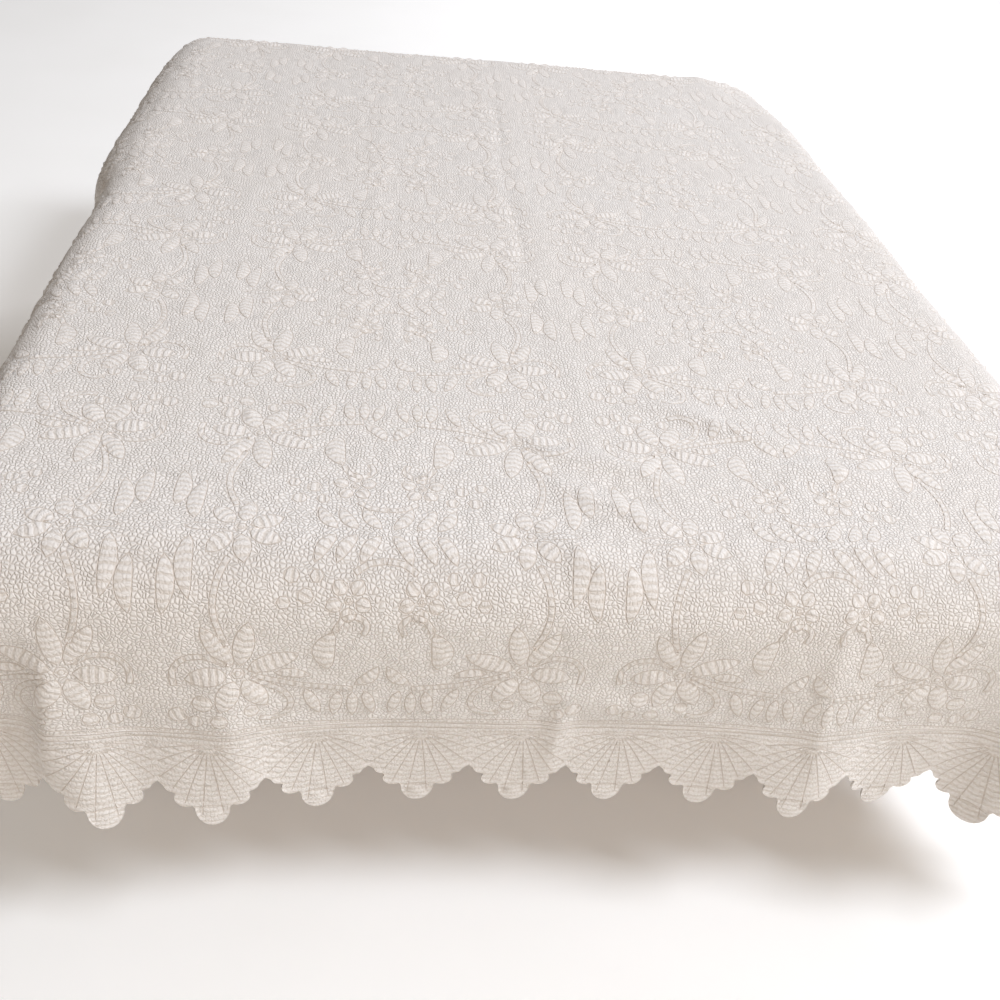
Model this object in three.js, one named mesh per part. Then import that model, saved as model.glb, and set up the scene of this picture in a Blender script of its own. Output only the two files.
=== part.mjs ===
import * as THREE from 'three';
import { mergeVertices } from 'three/addons/utils/BufferGeometryUtils.js';

// A quilted matelasse coverlet with a scalloped hem, spread over a queen mattress on a low base.
// Millimetres. X runs across the bed, Y from the foot to the head, Z up from the floor.

// The bed under the cloth.
const MATTRESS = { width: 1524, length: 2032, height: 300, edge: 80 };
const PLATFORM = { width: 1400, length: 1900, height: 40 };
const PLINTH = { width: 1260, length: 1580, height: 280 };
const SEAT_GAP = 0.3;

// The cloth: its thickness, how far it hangs off the mattress sides, and the lengths of cloth that
// go over each edge, measured along the cloth from where the flat top ends.
const CLOTH = { thickness: 3, sideGap: 3, bend: 76, tipLength: 437, headTurn: 95 };
// Scallops are spaced along a line this far down the cloth, which turns the two foot corners as an arc.
const HEM_LINE = 405;

// The soft head-right corner: how far cloth and mattress sink there, and how far in the dip reaches.
const CORNER_DIP = { cloth: { depth: 38, acrossReach: 180, alongReach: 420 },
  mattress: { depth: 62, acrossReach: 330, alongReach: 640 }, power: 1.5 };

// Folds of the three drops. `at` is X on the foot, Y on a side, and a share of the turn on a corner;
// `before` and `after` are the widths toward lower and higher `at`; `lean` is how far the hem stands
// out; `shoulder` widens the bend over the mattress edge.
const FOLDS = [
  { edge: 'left', at: 560, before: 455, after: 420, lean: 6, shoulder: 56, power: 8 },
  { edge: 'left', at: -150, before: 80, after: 70, lean: 30, shoulder: 0, power: 2 },
  { edge: 'left', at: -455, before: 70, after: 95, lean: 44, shoulder: 0, power: 2 },
  { edge: 'left', at: -760, before: 90, after: 60, lean: 28, shoulder: 0, power: 2 },
  { edge: 'footLeft', at: 0.45, before: 215, after: 190, lean: 186, shoulder: 0, power: 2 },
  { edge: 'foot', at: -580, before: 45, after: 72, lean: 70, shoulder: 0, power: 2 },
  { edge: 'foot', at: -445, before: 68, after: 130, lean: 57, shoulder: 0, power: 2 },
  { edge: 'foot', at: 362, before: 112, after: 60, lean: 40, shoulder: 0, power: 2 },
  { edge: 'foot', at: 640, before: 56, after: 70, lean: 84, shoulder: 0, power: 2 },
  { edge: 'footRight', at: 0.56, before: 205, after: 195, lean: 198, shoulder: 0, power: 2 },
  { edge: 'right', at: -720, before: 70, after: 90, lean: 40, shoulder: 0, power: 2 },
  { edge: 'right', at: -400, before: 100, after: 65, lean: 26, shoulder: 0, power: 2 },
  { edge: 'right', at: -90, before: 75, after: 80, lean: 46, shoulder: 0, power: 2 },
  { edge: 'right', at: 260, before: 85, after: 70, lean: 34, shoulder: 0, power: 2 },
  { edge: 'right', at: 590, before: 60, after: 95, lean: 42, shoulder: 0, power: 2 },
  { edge: 'right', at: 880, before: 80, after: 60, lean: 24, shoulder: 0, power: 2 },
];

// Ripples that lift the head hem near the right corner.
const HEAD_RIPPLES = [
  { at: 569, halfWidth: 30, height: 12 },
  { at: 657, halfWidth: 26, height: 8 },
];
const RIPPLE_REACH = 110;

// The scalloped hem. Each scallop is five round lobes; `at` is measured from its middle, `depth` is the
// lowest point of the lobe along the cloth, and `turns` are the degrees round the lobe that are used.
const SCALLOPS = { count: 52, middle: 25, middleX: -38, fanApex: 297, fanRing: 342, rays: 7, raySpan: 0.84 };
const LOBES = [
  { at: -47, radius: 11, depth: 385, turns: [-40] },
  { at: -31, radius: 14, depth: 409, turns: [-60, 5] },
  { at: 0, radius: 21, depth: 437, turns: [-80, -40, 0, 40, 80] },
  { at: 31, radius: 14, depth: 409, turns: [-5, 60] },
  { at: 47, radius: 11, depth: 385, turns: [40] },
];
const VALLEY = 362;
const FAN_RELIEF = 2.6;

// Quilted flowers and leaves on the top: pairs of flower columns, `unit` apart. Every third row has four
// tall leaves below and above it, between the two flowers of each pair.
const PATTERN = { unit: 526, pairX: 45, columnOffset: 97, firstRow: -756, rowPitch: 187.5, rowCount: 9 };
const LEAFY_ROWS = { every: 3, first: 2 };
const FLOWER = { petals: 6, tip: 66, notch: 24, crest: 42, height: 3.2, centreHeight: 1 };
const LEAF = { length: 78, width: 20, height: 3 };
const LEAVES = [
  { across: -44, lean: 7 },
  { across: -15, lean: 2 },
  { across: 15, lean: -2 },
  { across: 44, lean: -7 },
];

// How finely the drops, the corners and the head turn are divided.
const STEPS = { foot: 30, side: 40, corner: 12, head: 28, headTurn: 3, border: 4, mattressBend: 4 };
// The quilted field of the top starts and ends this many side steps in from the foot and the head.
const FIELD_MARGIN = 2;
const MATTRESS_FLAT_STEPS = [10, 12, 1];
const DROP_ROWS = [30, 60, 90, 120, 195, 270];
const EDGE_BOW = -0.002;

const COLOURS = { cloth: 0xf1ece4, ticking: 0xe9e6df, wood: 0xb79a78, plinth: 0x8f7558 };

// Places worked out from the sizes above.
const PLATFORM_Z = PLINTH.height + SEAT_GAP;
const MATTRESS_Z = PLATFORM_Z + PLATFORM.height + SEAT_GAP;
const TOP_Z = MATTRESS_Z + MATTRESS.height + SEAT_GAP + CLOTH.thickness;
const FLAT_X = MATTRESS.width / 2 + CLOTH.sideGap + CLOTH.thickness - CLOTH.bend;
const FLAT_Y = MATTRESS.length / 2 + CLOTH.sideGap + CLOTH.thickness - CLOTH.bend;
const HEAD_END = FLAT_Y + CLOTH.headTurn;

// Lengths along the hem line, from the head of the left side round the foot to the head of the right.
const SIDE_RUN = HEAD_END + FLAT_Y;
const CORNER_RUN = HEM_LINE * Math.PI / 2;
const FOOT_RUN = 2 * FLAT_X;
const FOOT_START = SIDE_RUN + CORNER_RUN;
const FOOT_END = FOOT_START + FOOT_RUN;
const RIGHT_START = FOOT_END + CORNER_RUN;
const HEM_RUN = RIGHT_START + SIDE_RUN;

const EDGE_PLACES = {
  left: (at) => HEAD_END - at,
  footLeft: (at) => SIDE_RUN + at * CORNER_RUN,
  foot: (at) => FOOT_START + FLAT_X + at,
  footRight: (at) => FOOT_END + at * CORNER_RUN,
  right: (at) => RIGHT_START + FLAT_Y + at,
};
// On the left side the run goes down as Y goes up, so the two widths of a fold change places.
const PLACED_FOLDS = FOLDS.map((fold) => ({
  ...fold,
  run: EDGE_PLACES[fold.edge](fold.at),
  before: fold.edge === 'left' ? fold.after : fold.before,
  after: fold.edge === 'left' ? fold.before : fold.after,
}));

const smooth = (t) => {
  const c = THREE.MathUtils.clamp(t, 0, 1);
  return c * c * (3 - 2 * c);
};

function cornerDip(x, y, { depth, acrossReach, alongReach }) {
  const across = Math.max(MATTRESS.width / 2 - x, 0) / acrossReach;
  const along = Math.max(MATTRESS.length / 2 - y, 0) / alongReach;
  return depth * Math.max(1 - Math.hypot(across, along), 0) ** CORNER_DIP.power;
}

function headRipple(x, y) {
  const reach = smooth(1 - (HEAD_END - y) / RIPPLE_REACH);
  const lift = HEAD_RIPPLES.reduce((sum, { at, halfWidth, height }) => (
    sum + height * Math.exp(-(((x - at) / halfWidth) ** 2))), 0);
  return reach * lift;
}

// Where the flat top ends at a place along the hem run, and the direction that points out from it.
function edgeAt(run) {
  if (run < SIDE_RUN) return { x: -FLAT_X, flatY: HEAD_END - run, angle: Math.PI };
  if (run < FOOT_START) {
    return { x: -FLAT_X, flatY: -FLAT_Y, angle: Math.PI + (run - SIDE_RUN) / HEM_LINE };
  }
  if (run < FOOT_END) return { x: run - FOOT_START - FLAT_X, flatY: -FLAT_Y, angle: 1.5 * Math.PI };
  if (run < RIGHT_START) {
    return { x: FLAT_X, flatY: -FLAT_Y, angle: 1.5 * Math.PI + (run - FOOT_END) / HEM_LINE };
  }
  return { x: FLAT_X, flatY: run - RIGHT_START - FLAT_Y, angle: 2 * Math.PI };
}

function foldsAt(run) {
  let lean = 0;
  let shoulder = 0;
  for (const fold of PLACED_FOLDS) {
    const width = run < fold.run ? fold.before : fold.after;
    const share = Math.exp(-(Math.abs((run - fold.run) / width) ** fold.power));
    lean += fold.lean * share;
    shoulder += fold.shoulder * share;
  }
  return { lean: Math.asin(lean / CLOTH.tipLength), bend: CLOTH.bend + shoulder };
}

// The outer face of the flat top, which turns down over the head edge past FLAT_Y.
function topPoint(x, flatY) {
  const turn = Math.max(flatY - FLAT_Y, 0) / CLOTH.bend;
  const y = Math.min(flatY, FLAT_Y) + CLOTH.bend * Math.sin(turn);
  const z = TOP_Z - CLOTH.bend * (1 - Math.cos(turn)) + headRipple(x, flatY);
  return new THREE.Vector3(x, y, z - cornerDip(x, y, CORNER_DIP.cloth));
}

function topNormal(flatY) {
  const turn = Math.max(flatY - FLAT_Y, 0) / CLOTH.bend;
  return new THREE.Vector3(0, Math.sin(turn), Math.cos(turn));
}

// The outer face of a drop: over the rounded edge, then straight down with the lean of its fold.
// Past the head edge the cloth of a side hangs free in line with it.
function dropPoint(run, length) {
  const { x, flatY, angle } = edgeAt(run);
  const { lean, bend } = foldsAt(run);
  const turn = Math.min(length / bend, Math.PI / 2 - lean);
  const rest = length - bend * turn;
  const out = bend * Math.sin(turn) + rest * Math.sin(lean);
  const down = bend * (1 - Math.cos(turn)) + rest * Math.cos(lean);
  const past = Math.max(flatY - FLAT_Y, 0);
  const free = smooth(length / (2 * CLOTH.bend));
  const turned = CLOTH.bend * Math.sin(past / CLOTH.bend);
  const y = Math.min(flatY, FLAT_Y) + THREE.MathUtils.lerp(turned, past, free);
  const fall = CLOTH.bend * (1 - Math.cos(past / CLOTH.bend)) * (1 - free);
  const point = new THREE.Vector3(x + out * Math.cos(angle), y + out * Math.sin(angle), TOP_Z - down - fall);
  point.z -= cornerDip(point.x, point.y, CORNER_DIP.cloth);
  return point;
}

function dropNormal(run, length) {
  const step = 2;
  const from = Math.max(run - step, 0);
  const to = Math.min(run + step, HEM_RUN);
  const along = dropPoint(to, length).sub(dropPoint(from, length));
  const downward = dropPoint(run, length + step).sub(dropPoint(run, length - step));
  return downward.cross(along).normalize();
}

// A closed thin sheet. A paired vertex has an outer point and, one index later, its inner point.
class Sheet {
  constructor(thickness) {
    this.thickness = thickness;
    this.positions = [];
    this.outer = [];
    this.inner = [];
    this.topVertices = new Map();
  }

  single(point) {
    this.positions.push(...point);
    return this.positions.length / 3 - 1;
  }

  pair(point, normal, relief = 0) {
    const id = this.single(point.clone().addScaledVector(normal, relief));
    this.single(point.clone().addScaledVector(normal, -this.thickness));
    return id;
  }

  // The paired vertex at a place of the flat top, made once and shared by all that meet there.
  top(x, flatY) {
    const key = `${x.toFixed(2)} ${flatY.toFixed(2)}`;
    if (!this.topVertices.has(key)) {
      this.topVertices.set(key, this.pair(topPoint(x, flatY), topNormal(flatY)));
    }
    return this.topVertices.get(key);
  }

  drop(run, length, relief = 0) {
    return { run, id: this.pair(dropPoint(run, length), dropNormal(run, length), relief) };
  }

  // A triangle of paired vertices, on both faces of the cloth.
  both(a, b, c) {
    if (a === b || b === c || a === c) return;
    this.outer.push([a, b, c]);
    this.inner.push([a + 1, c + 1, b + 1]);
  }

  // Joins two lines of vertices, the upper nearer the top, both in order of their place on the run.
  zip(upper, lower) {
    let i = 0;
    let j = 0;
    while (i < upper.length - 1 || j < lower.length - 1) {
      const upperNext = i < upper.length - 1 ? upper[i + 1].run : Infinity;
      const lowerNext = j < lower.length - 1 ? lower[j + 1].run : Infinity;
      if (upperNext <= lowerNext) {
        this.both(upper[i].id, lower[j].id, upper[i + 1].id);
        i += 1;
      } else {
        this.both(upper[i].id, lower[j].id, lower[j + 1].id);
        j += 1;
      }
    }
  }

  // A flat panel of the top inside a contour of [x, flatY] points. Raised motifs are set into its outer
  // face; its inner face stays plain.
  panel(contour, motifs = []) {
    const contourIds = contour.map(([x, y]) => this.top(x, y));
    const motifIds = motifs.map((motif) => motif.outline.map(([x, y]) => this.single(topPoint(x, y))));
    this.fill(contour, motifs.map((motif) => motif.outline), [contourIds, ...motifIds].flat(), this.outer);
    this.fill(contour, [], contourIds.map((id) => id + 1), this.inner, true);
    motifs.forEach((motif, index) => this.raise(motif, motifIds[index]));
  }

  // Triangulates a panel. Its edges are bowed in a little meanwhile, so that no three points of an edge
  // lie in line and each stretch between two of them has its own triangle.
  fill(contour, holes, ids, faces, flipped = false) {
    const box = new THREE.Box2().setFromPoints(contour.map(([x, y]) => new THREE.Vector2(x, y)));
    const middle = box.getCenter(new THREE.Vector2());
    const half = box.getSize(new THREE.Vector2()).multiplyScalar(0.5);
    const bowed = ([x, y]) => {
      const place = new THREE.Vector2(x, y).sub(middle).divide(half);
      const bow = new THREE.Vector2(1 - place.y ** 2, 1 - place.x ** 2).multiplyScalar(EDGE_BOW).addScalar(1);
      return place.multiply(half).multiply(bow);
    };
    const vectors = [contour, ...holes].map((line) => line.map(bowed));
    const all = vectors.flat();
    for (const [a, b, c] of THREE.ShapeUtils.triangulateShape(vectors[0], vectors.slice(1))) {
      const area = all[b].clone().sub(all[a]).cross(all[c].clone().sub(all[a]));
      const face = (area > 0) !== flipped ? [a, b, c] : [a, c, b];
      faces.push(face.map((index) => ids[index]));
    }
  }

  // The raised cap of a motif: each stretch of its outline joins its own crest, and crests meet inside.
  raise({ crests, centre, stretch }, outlineIds) {
    const up = (place) => this.single(topPoint(place.x, place.y).setZ(TOP_Z + place.height));
    const crestIds = crests.map(up);
    const centreId = centre ? up(centre) : null;
    const count = outlineIds.length;
    crests.forEach((crest, index) => {
      const first = index * stretch;
      for (let k = 0; k < stretch; k += 1) {
        const [from, to] = [first + k, first + k + 1].map((place) => outlineIds[place % count]);
        this.outer.push([from, to, crestIds[index]]);
      }
      if (centreId !== null) {
        const last = outlineIds[(first + stretch) % count];
        this.outer.push([last, centreId, crestIds[index]]);
        this.outer.push([centreId, outlineIds[first], crestIds[index]]);
      }
    });
  }

  // Closes the edge of the cloth all round and returns the finished geometry.
  close() {
    const open = new Map();
    for (const [a, b, c] of this.outer) {
      for (const [from, to] of [[a, b], [b, c], [c, a]]) {
        if (!open.delete(`${to} ${from}`)) open.set(`${from} ${to}`, [from, to]);
      }
    }
    const rim = [...open.values()].flatMap(([from, to]) => [[to, from, from + 1], [to, from + 1, to + 1]]);
    const geometry = new THREE.BufferGeometry();
    geometry.setAttribute('position', new THREE.Float32BufferAttribute(this.positions, 3));
    geometry.setIndex([...this.outer, ...this.inner, ...rim].flat());
    geometry.computeVertexNormals();
    return geometry;
  }
}

const range = (count) => Array.from({ length: count }, (_, index) => index);

// Evenly spaced values from start to end, both included.
const spaced = (start, end, steps) => range(steps + 1).map((i) => start + (end - start) * i / steps);

const SIDE_STEP = 2 * FLAT_Y / STEPS.side;
const FIELD_END = FLAT_Y - FIELD_MARGIN * SIDE_STEP;
const FIELD_START = -FIELD_END;

// Places along the run where the columns of the drops hang, each with its point on the flat top.
function dropColumns() {
  const headTurn = spaced(HEAD_END, FLAT_Y, STEPS.headTurn);
  const side = spaced(FLAT_Y, -FLAT_Y, STEPS.side);
  const down = [...headTurn.slice(0, -1), ...side];
  const corner = spaced(0, 1, STEPS.corner).slice(1, -1);
  return [
    ...down.map((y) => ({ run: EDGE_PLACES.left(y), x: -FLAT_X, flatY: y })),
    ...corner.map((t) => ({ run: EDGE_PLACES.footLeft(t), x: -FLAT_X, flatY: -FLAT_Y })),
    ...spaced(-FLAT_X, FLAT_X, STEPS.foot).map((x) => ({ run: EDGE_PLACES.foot(x), x, flatY: -FLAT_Y })),
    ...corner.map((t) => ({ run: EDGE_PLACES.footRight(t), x: FLAT_X, flatY: -FLAT_Y })),
    ...down.toReversed().map((y) => ({ run: EDGE_PLACES.right(y), x: FLAT_X, flatY: y })),
  ];
}

// Scallop boundaries along the run: the middle scallop hangs at its own place on the foot, and the
// scallops to either side share what is left evenly.
function scallopStart(index) {
  const middleRun = EDGE_PLACES.foot(SCALLOPS.middleX);
  const leftPitch = middleRun / (SCALLOPS.middle + 0.5);
  const rightPitch = (HEM_RUN - middleRun) / (SCALLOPS.count - SCALLOPS.middle - 0.5);
  return index <= SCALLOPS.middle ? index * leftPitch : HEM_RUN - (SCALLOPS.count - index) * rightPitch;
}

function addDrops(sheet) {
  const columns = dropColumns();
  let upper = columns.map(({ run, x, flatY }) => ({ run, id: sheet.top(x, flatY) }));
  for (const length of DROP_ROWS) {
    const row = columns.map(({ run }) => sheet.drop(run, length));
    sheet.zip(upper, row);
    upper = row;
  }

  // Below the last row each scallop has a fan of raised panels between stitched rays.
  const hem = [];
  const ring = [sheet.drop(0, SCALLOPS.fanRing)];
  const fanLine = [ring[0]];
  for (const index of range(SCALLOPS.count)) {
    const start = scallopStart(index);
    const pitch = scallopStart(index + 1) - start;
    const middle = start + pitch / 2;
    const half = pitch * SCALLOPS.raySpan / 2;
    const apex = sheet.drop(middle, SCALLOPS.fanApex);
    const rays = spaced(-half, half, SCALLOPS.rays - 1).map((across, ray) => (
      sheet.drop(middle + across, SCALLOPS.fanRing, ray % 2 ? FAN_RELIEF : 0)));
    for (const ray of range(SCALLOPS.rays - 1)) sheet.both(apex.id, rays[ray].id, rays[ray + 1].id);
    ring.push(...rays);
    fanLine.push(rays[0], apex, rays.at(-1));
    hem.push(sheet.drop(start, VALLEY));
    for (const { at, radius, depth, turns } of LOBES) {
      for (const degrees of turns) {
        const turn = THREE.MathUtils.degToRad(degrees);
        hem.push(sheet.drop(middle + at + radius * Math.sin(turn), depth - radius * (1 - Math.cos(turn))));
      }
    }
  }
  hem.push(sheet.drop(HEM_RUN, VALLEY));
  ring.push(sheet.drop(HEM_RUN, SCALLOPS.fanRing));
  fanLine.push(ring.at(-1));
  sheet.zip(upper, fanLine);
  sheet.zip(ring, hem);
}

function flowerMotif(x, y) {
  const point = (radius, turn) => [x + radius * Math.cos(turn), y + radius * Math.sin(turn)];
  const petalTurn = 2 * Math.PI / FLOWER.petals;
  const outline = range(FLOWER.petals).flatMap((petal) => [
    point(FLOWER.notch, (petal - 0.5) * petalTurn),
    point(FLOWER.tip, petal * petalTurn),
  ]);
  const crests = range(FLOWER.petals).map((petal) => {
    const [crestX, crestY] = point(FLOWER.crest, petal * petalTurn);
    return { x: crestX, y: crestY, height: FLOWER.height };
  });
  return { outline, crests, centre: { x, y, height: FLOWER.centreHeight }, stretch: 2 };
}

function leafMotif(x, y, lean) {
  const turn = THREE.MathUtils.degToRad(90 + lean);
  const along = [Math.cos(turn) * LEAF.length / 2, Math.sin(turn) * LEAF.length / 2];
  const across = [-Math.sin(turn) * LEAF.width / 2, Math.cos(turn) * LEAF.width / 2];
  const corners = [[1, 0], [0, 1], [-1, 0], [0, -1]];
  const outline = corners.map(([a, b]) => (
    [x + a * along[0] + b * across[0], y + a * along[1] + b * across[1]]));
  return { outline, crests: [{ x, y, height: LEAF.height }], centre: null, stretch: outline.length };
}

// The flowers and leaves that lie whole between two places across the top.
function motifsBetween(left, right) {
  const motifs = [];
  for (const pair of [-1, 0, 1]) {
    const pairX = PATTERN.pairX + pair * PATTERN.unit;
    for (const row of range(PATTERN.rowCount)) {
      const y = PATTERN.firstRow + row * PATTERN.rowPitch;
      for (const side of [-1, 1]) {
        const x = pairX + side * PATTERN.columnOffset;
        if (x - FLOWER.tip > left && x + FLOWER.tip < right) motifs.push(flowerMotif(x, y));
      }
      if (row % LEAFY_ROWS.every !== LEAFY_ROWS.first) continue;
      for (const leafY of [y - PATTERN.rowPitch / 2, y + PATTERN.rowPitch / 2]) {
        if (leafY + LEAF.length > FIELD_END) continue;
        for (const { across, lean } of LEAVES) {
          const x = pairX + across;
          if (x - LEAF.width > left && x + LEAF.width < right) motifs.push(leafMotif(x, leafY, lean));
        }
      }
    }
  }
  return motifs;
}

// A plain stretch of the top as a grid of squares.
function addGrid(sheet, columns, rows) {
  for (const i of range(columns.length - 1)) {
    for (const j of range(rows.length - 1)) {
      const corner = (di, dj) => sheet.top(columns[i + di], rows[j + dj]);
      sheet.both(corner(0, 0), corner(1, 0), corner(1, 1));
      sheet.both(corner(0, 0), corner(1, 1), corner(0, 1));
    }
  }
}

function addTop(sheet) {
  const fieldRows = spaced(FIELD_START, FIELD_END, STEPS.side - 2 * FIELD_MARGIN);
  const gapX = PATTERN.pairX - PATTERN.unit / 2;
  const borderX = PATTERN.pairX + PATTERN.unit;
  const seams = [-FLAT_X, gapX, gapX + PATTERN.unit, borderX];

  // Three quilted panels side by side, each with its flowers and leaves.
  for (const index of range(seams.length - 1)) {
    const [left, right] = [seams[index], seams[index + 1]];
    const contour = [...fieldRows.map((y) => [right, y]), ...fieldRows.toReversed().map((y) => [left, y])];
    sheet.panel(contour, motifsBetween(left, right));
  }

  // A plain border at the right, divided finely enough to follow the dip of the head corner.
  const borderColumns = spaced(borderX, FLAT_X, STEPS.border);
  addGrid(sheet, borderColumns, [...fieldRows, ...spaced(FIELD_END, FLAT_Y, FIELD_MARGIN).slice(1)]);

  // Margins at the foot and the head, then the turn over the head edge.
  const footColumns = spaced(-FLAT_X, FLAT_X, STEPS.foot);
  const footSides = spaced(-FLAT_Y, FIELD_START, FIELD_MARGIN).slice(1, -1);
  sheet.panel([
    ...footColumns.map((x) => [x, -FLAT_Y]),
    ...footSides.map((y) => [FLAT_X, y]),
    ...[...seams, ...borderColumns.slice(1)].toReversed().map((x) => [x, FIELD_START]),
    ...footSides.toReversed().map((y) => [-FLAT_X, y]),
  ]);
  const headSides = spaced(FIELD_END, FLAT_Y, FIELD_MARGIN);
  const headColumns = spaced(-FLAT_X, borderX, STEPS.head);
  sheet.panel([
    ...seams.map((x) => [x, FIELD_END]),
    ...headSides.slice(1, -1).map((y) => [borderX, y]),
    ...headColumns.toReversed().map((x) => [x, FLAT_Y]),
    ...headSides.slice(1, -1).toReversed().map((y) => [-FLAT_X, y]),
  ]);
  addGrid(sheet, [...headColumns, ...borderColumns.slice(1)], spaced(FLAT_Y, HEAD_END, STEPS.headTurn));
}

function coverletGeometry() {
  const sheet = new Sheet(CLOTH.thickness);
  addTop(sheet);
  addDrops(sheet);
  return sheet.close();
}

// Even steps over the flat of a side, with closer ones round its two edges.
function roundedStops(half, radius, flatSteps) {
  const bend = range(STEPS.mattressBend).map((i) => {
    const turn = Math.PI / 2 * i / STEPS.mattressBend;
    return half - radius + radius * Math.cos(turn);
  });
  const flat = spaced(half - radius, radius - half, flatSteps);
  return [...bend, ...flat, ...bend.toReversed().map((value) => -value)];
}

// A box with rounded edges whose head-right corner is soft.
function mattressGeometry() {
  const { width, length, height, edge } = MATTRESS;
  const half = new THREE.Vector3(width / 2, length / 2, height / 2);
  const core = half.clone().subScalar(edge);
  const segments = MATTRESS_FLAT_STEPS.map((steps) => 2 * STEPS.mattressBend + steps);
  const box = new THREE.BoxGeometry(width, length, height, ...segments);
  box.deleteAttribute('normal');
  box.deleteAttribute('uv');
  const geometry = mergeVertices(box);
  const stops = half.toArray().map((value, axis) => roundedStops(value, edge, MATTRESS_FLAT_STEPS[axis]));
  const position = geometry.getAttribute('position');
  const point = new THREE.Vector3();
  for (const index of range(position.count)) {
    point.fromBufferAttribute(position, index);
    const spread = point.toArray().map((value, axis) => {
      const size = half.getComponent(axis);
      return stops[axis][Math.round((size - value) / (2 * size) * segments[axis])];
    });
    point.fromArray(spread);
    const inside = point.clone().clamp(core.clone().negate(), core);
    point.sub(inside).setLength(edge).add(inside);
    const heightShare = (point.z + half.z) / height;
    point.z -= heightShare * cornerDip(point.x, point.y, CORNER_DIP.mattress);
    position.setXYZ(index, ...point);
  }
  geometry.computeVertexNormals();
  return geometry;
}

function material(color, roughness) {
  return new THREE.MeshStandardMaterial({ color, roughness, metalness: 0 });
}

function named(name, geometry, surface, z = 0) {
  const mesh = new THREE.Mesh(geometry, surface);
  mesh.name = name;
  mesh.position.z = z;
  return mesh;
}

const bed = new THREE.Group();
bed.add(
  named('coverlet', coverletGeometry(), material(COLOURS.cloth, 0.9)),
  named('mattress', mattressGeometry(), material(COLOURS.ticking, 0.85), MATTRESS_Z + MATTRESS.height / 2),
  named('platform', new THREE.BoxGeometry(PLATFORM.width, PLATFORM.length, PLATFORM.height),
    material(COLOURS.wood, 0.55), PLATFORM_Z + PLATFORM.height / 2),
  named('plinth', new THREE.BoxGeometry(PLINTH.width, PLINTH.length, PLINTH.height),
    material(COLOURS.plinth, 0.6), PLINTH.height / 2),
);

export default bed;
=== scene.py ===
"""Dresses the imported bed: a quilted white coverlet with a scalloped hem over a mattress on an oak base.

The coverlet is made as the real one is. Its flat cut is laid out with the scalloped hem and every
stitched line, meshed along those lines, padded between them, and then draped over the mattress with
the folds of the solid that it stands for.
"""

import logging
import math
from dataclasses import dataclass, field
from enum import Enum
from typing import Any, Iterator

import bpy
import numpy as np
from mathutils import Matrix, Vector, kdtree
from mathutils.geometry import delaunay_2d_cdt


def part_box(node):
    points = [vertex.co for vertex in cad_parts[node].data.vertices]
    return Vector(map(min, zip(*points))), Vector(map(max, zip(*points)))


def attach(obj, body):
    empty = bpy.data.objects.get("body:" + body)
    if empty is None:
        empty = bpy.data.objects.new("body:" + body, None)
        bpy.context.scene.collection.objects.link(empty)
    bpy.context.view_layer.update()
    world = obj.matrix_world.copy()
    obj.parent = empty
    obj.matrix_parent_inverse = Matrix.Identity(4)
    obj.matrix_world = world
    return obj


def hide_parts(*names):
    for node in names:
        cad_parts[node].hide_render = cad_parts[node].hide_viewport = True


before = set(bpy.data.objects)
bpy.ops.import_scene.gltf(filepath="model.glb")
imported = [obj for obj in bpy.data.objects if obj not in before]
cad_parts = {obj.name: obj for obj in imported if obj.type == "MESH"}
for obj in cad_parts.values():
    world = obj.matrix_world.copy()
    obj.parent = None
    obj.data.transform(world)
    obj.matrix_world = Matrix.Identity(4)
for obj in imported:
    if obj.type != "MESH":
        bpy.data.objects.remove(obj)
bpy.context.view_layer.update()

log = logging.getLogger("bed")

MM = 0.001  # the cloth is laid out in millimetres and its mesh is in metres
SEAM_KEY = 10_000_000  # more than there are vertices, so that two vertices make one number
TINY = 1e-9  # keeps a number that is divided by from being nothing
MERGE = 1e-5  # points of a cut that are nearer than this are one
INSIDE = 1  # asks the triangulation for what lies inside the edge alone
OUTLINE_STEP = 8.0  # millimetres between the points of a stitched outline
STEM_STEP = 9.0  # millimetres between the points of a stem
BUD_POINTS = 0.8  # points of a bud's outline for each millimetre of its radius
JITTER = 0.16  # how far a fill point may shift, as a share of the spacing
WAVE_METRE = math.pi / 10  # the scale at which a wave texture repeats once in a metre

Point = tuple[float, float]
Path = list[Point]
Petals = tuple[tuple[float, float, float], ...]


def linear(code: str) -> tuple[float, float, float, float]:
    """Turns an sRGB hex colour into the linear colour that shaders take.

    Args:
        code: Six hex digits.
    Returns:
        Red, green, blue and alpha.
    """
    parts = [int(code[i:i + 2], 16) / 255 for i in (0, 2, 4)]
    lit = [c / 12.92 if c <= 0.04045 else ((c + 0.055) / 1.055) ** 2.4 for c in parts]
    return lit[0], lit[1], lit[2], 1.0


def add_node(tree: bpy.types.NodeTree, kind: str, inputs: dict | None = None,
             **settings: Any) -> bpy.types.Node:
    """Adds one shader node with its settings and links.

    Args:
        tree: The tree that the node goes in.
        kind: The node's type.
        inputs: Values, or sockets to link from, by input name or number.
        settings: Properties of the node itself.
    Returns:
        The new node.
    """
    node = tree.nodes.new(kind)
    for name, value in settings.items():
        setattr(node, name, value)
    for key, value in (inputs or {}).items():
        if isinstance(value, bpy.types.NodeSocket):
            tree.links.new(value, node.inputs[key])
        else:
            node.inputs[key].default_value = value
    return node


def new_material(name: str) -> tuple[bpy.types.Material, bpy.types.NodeTree, bpy.types.Node]:
    """Starts a material.

    Args:
        name: The material's name.
    Returns:
        The material, its node tree and its Principled shader.
    """
    material = bpy.data.materials.new(name)
    material.use_nodes = True
    tree = material.node_tree
    return material, tree, tree.nodes["Principled BSDF"]


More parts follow.
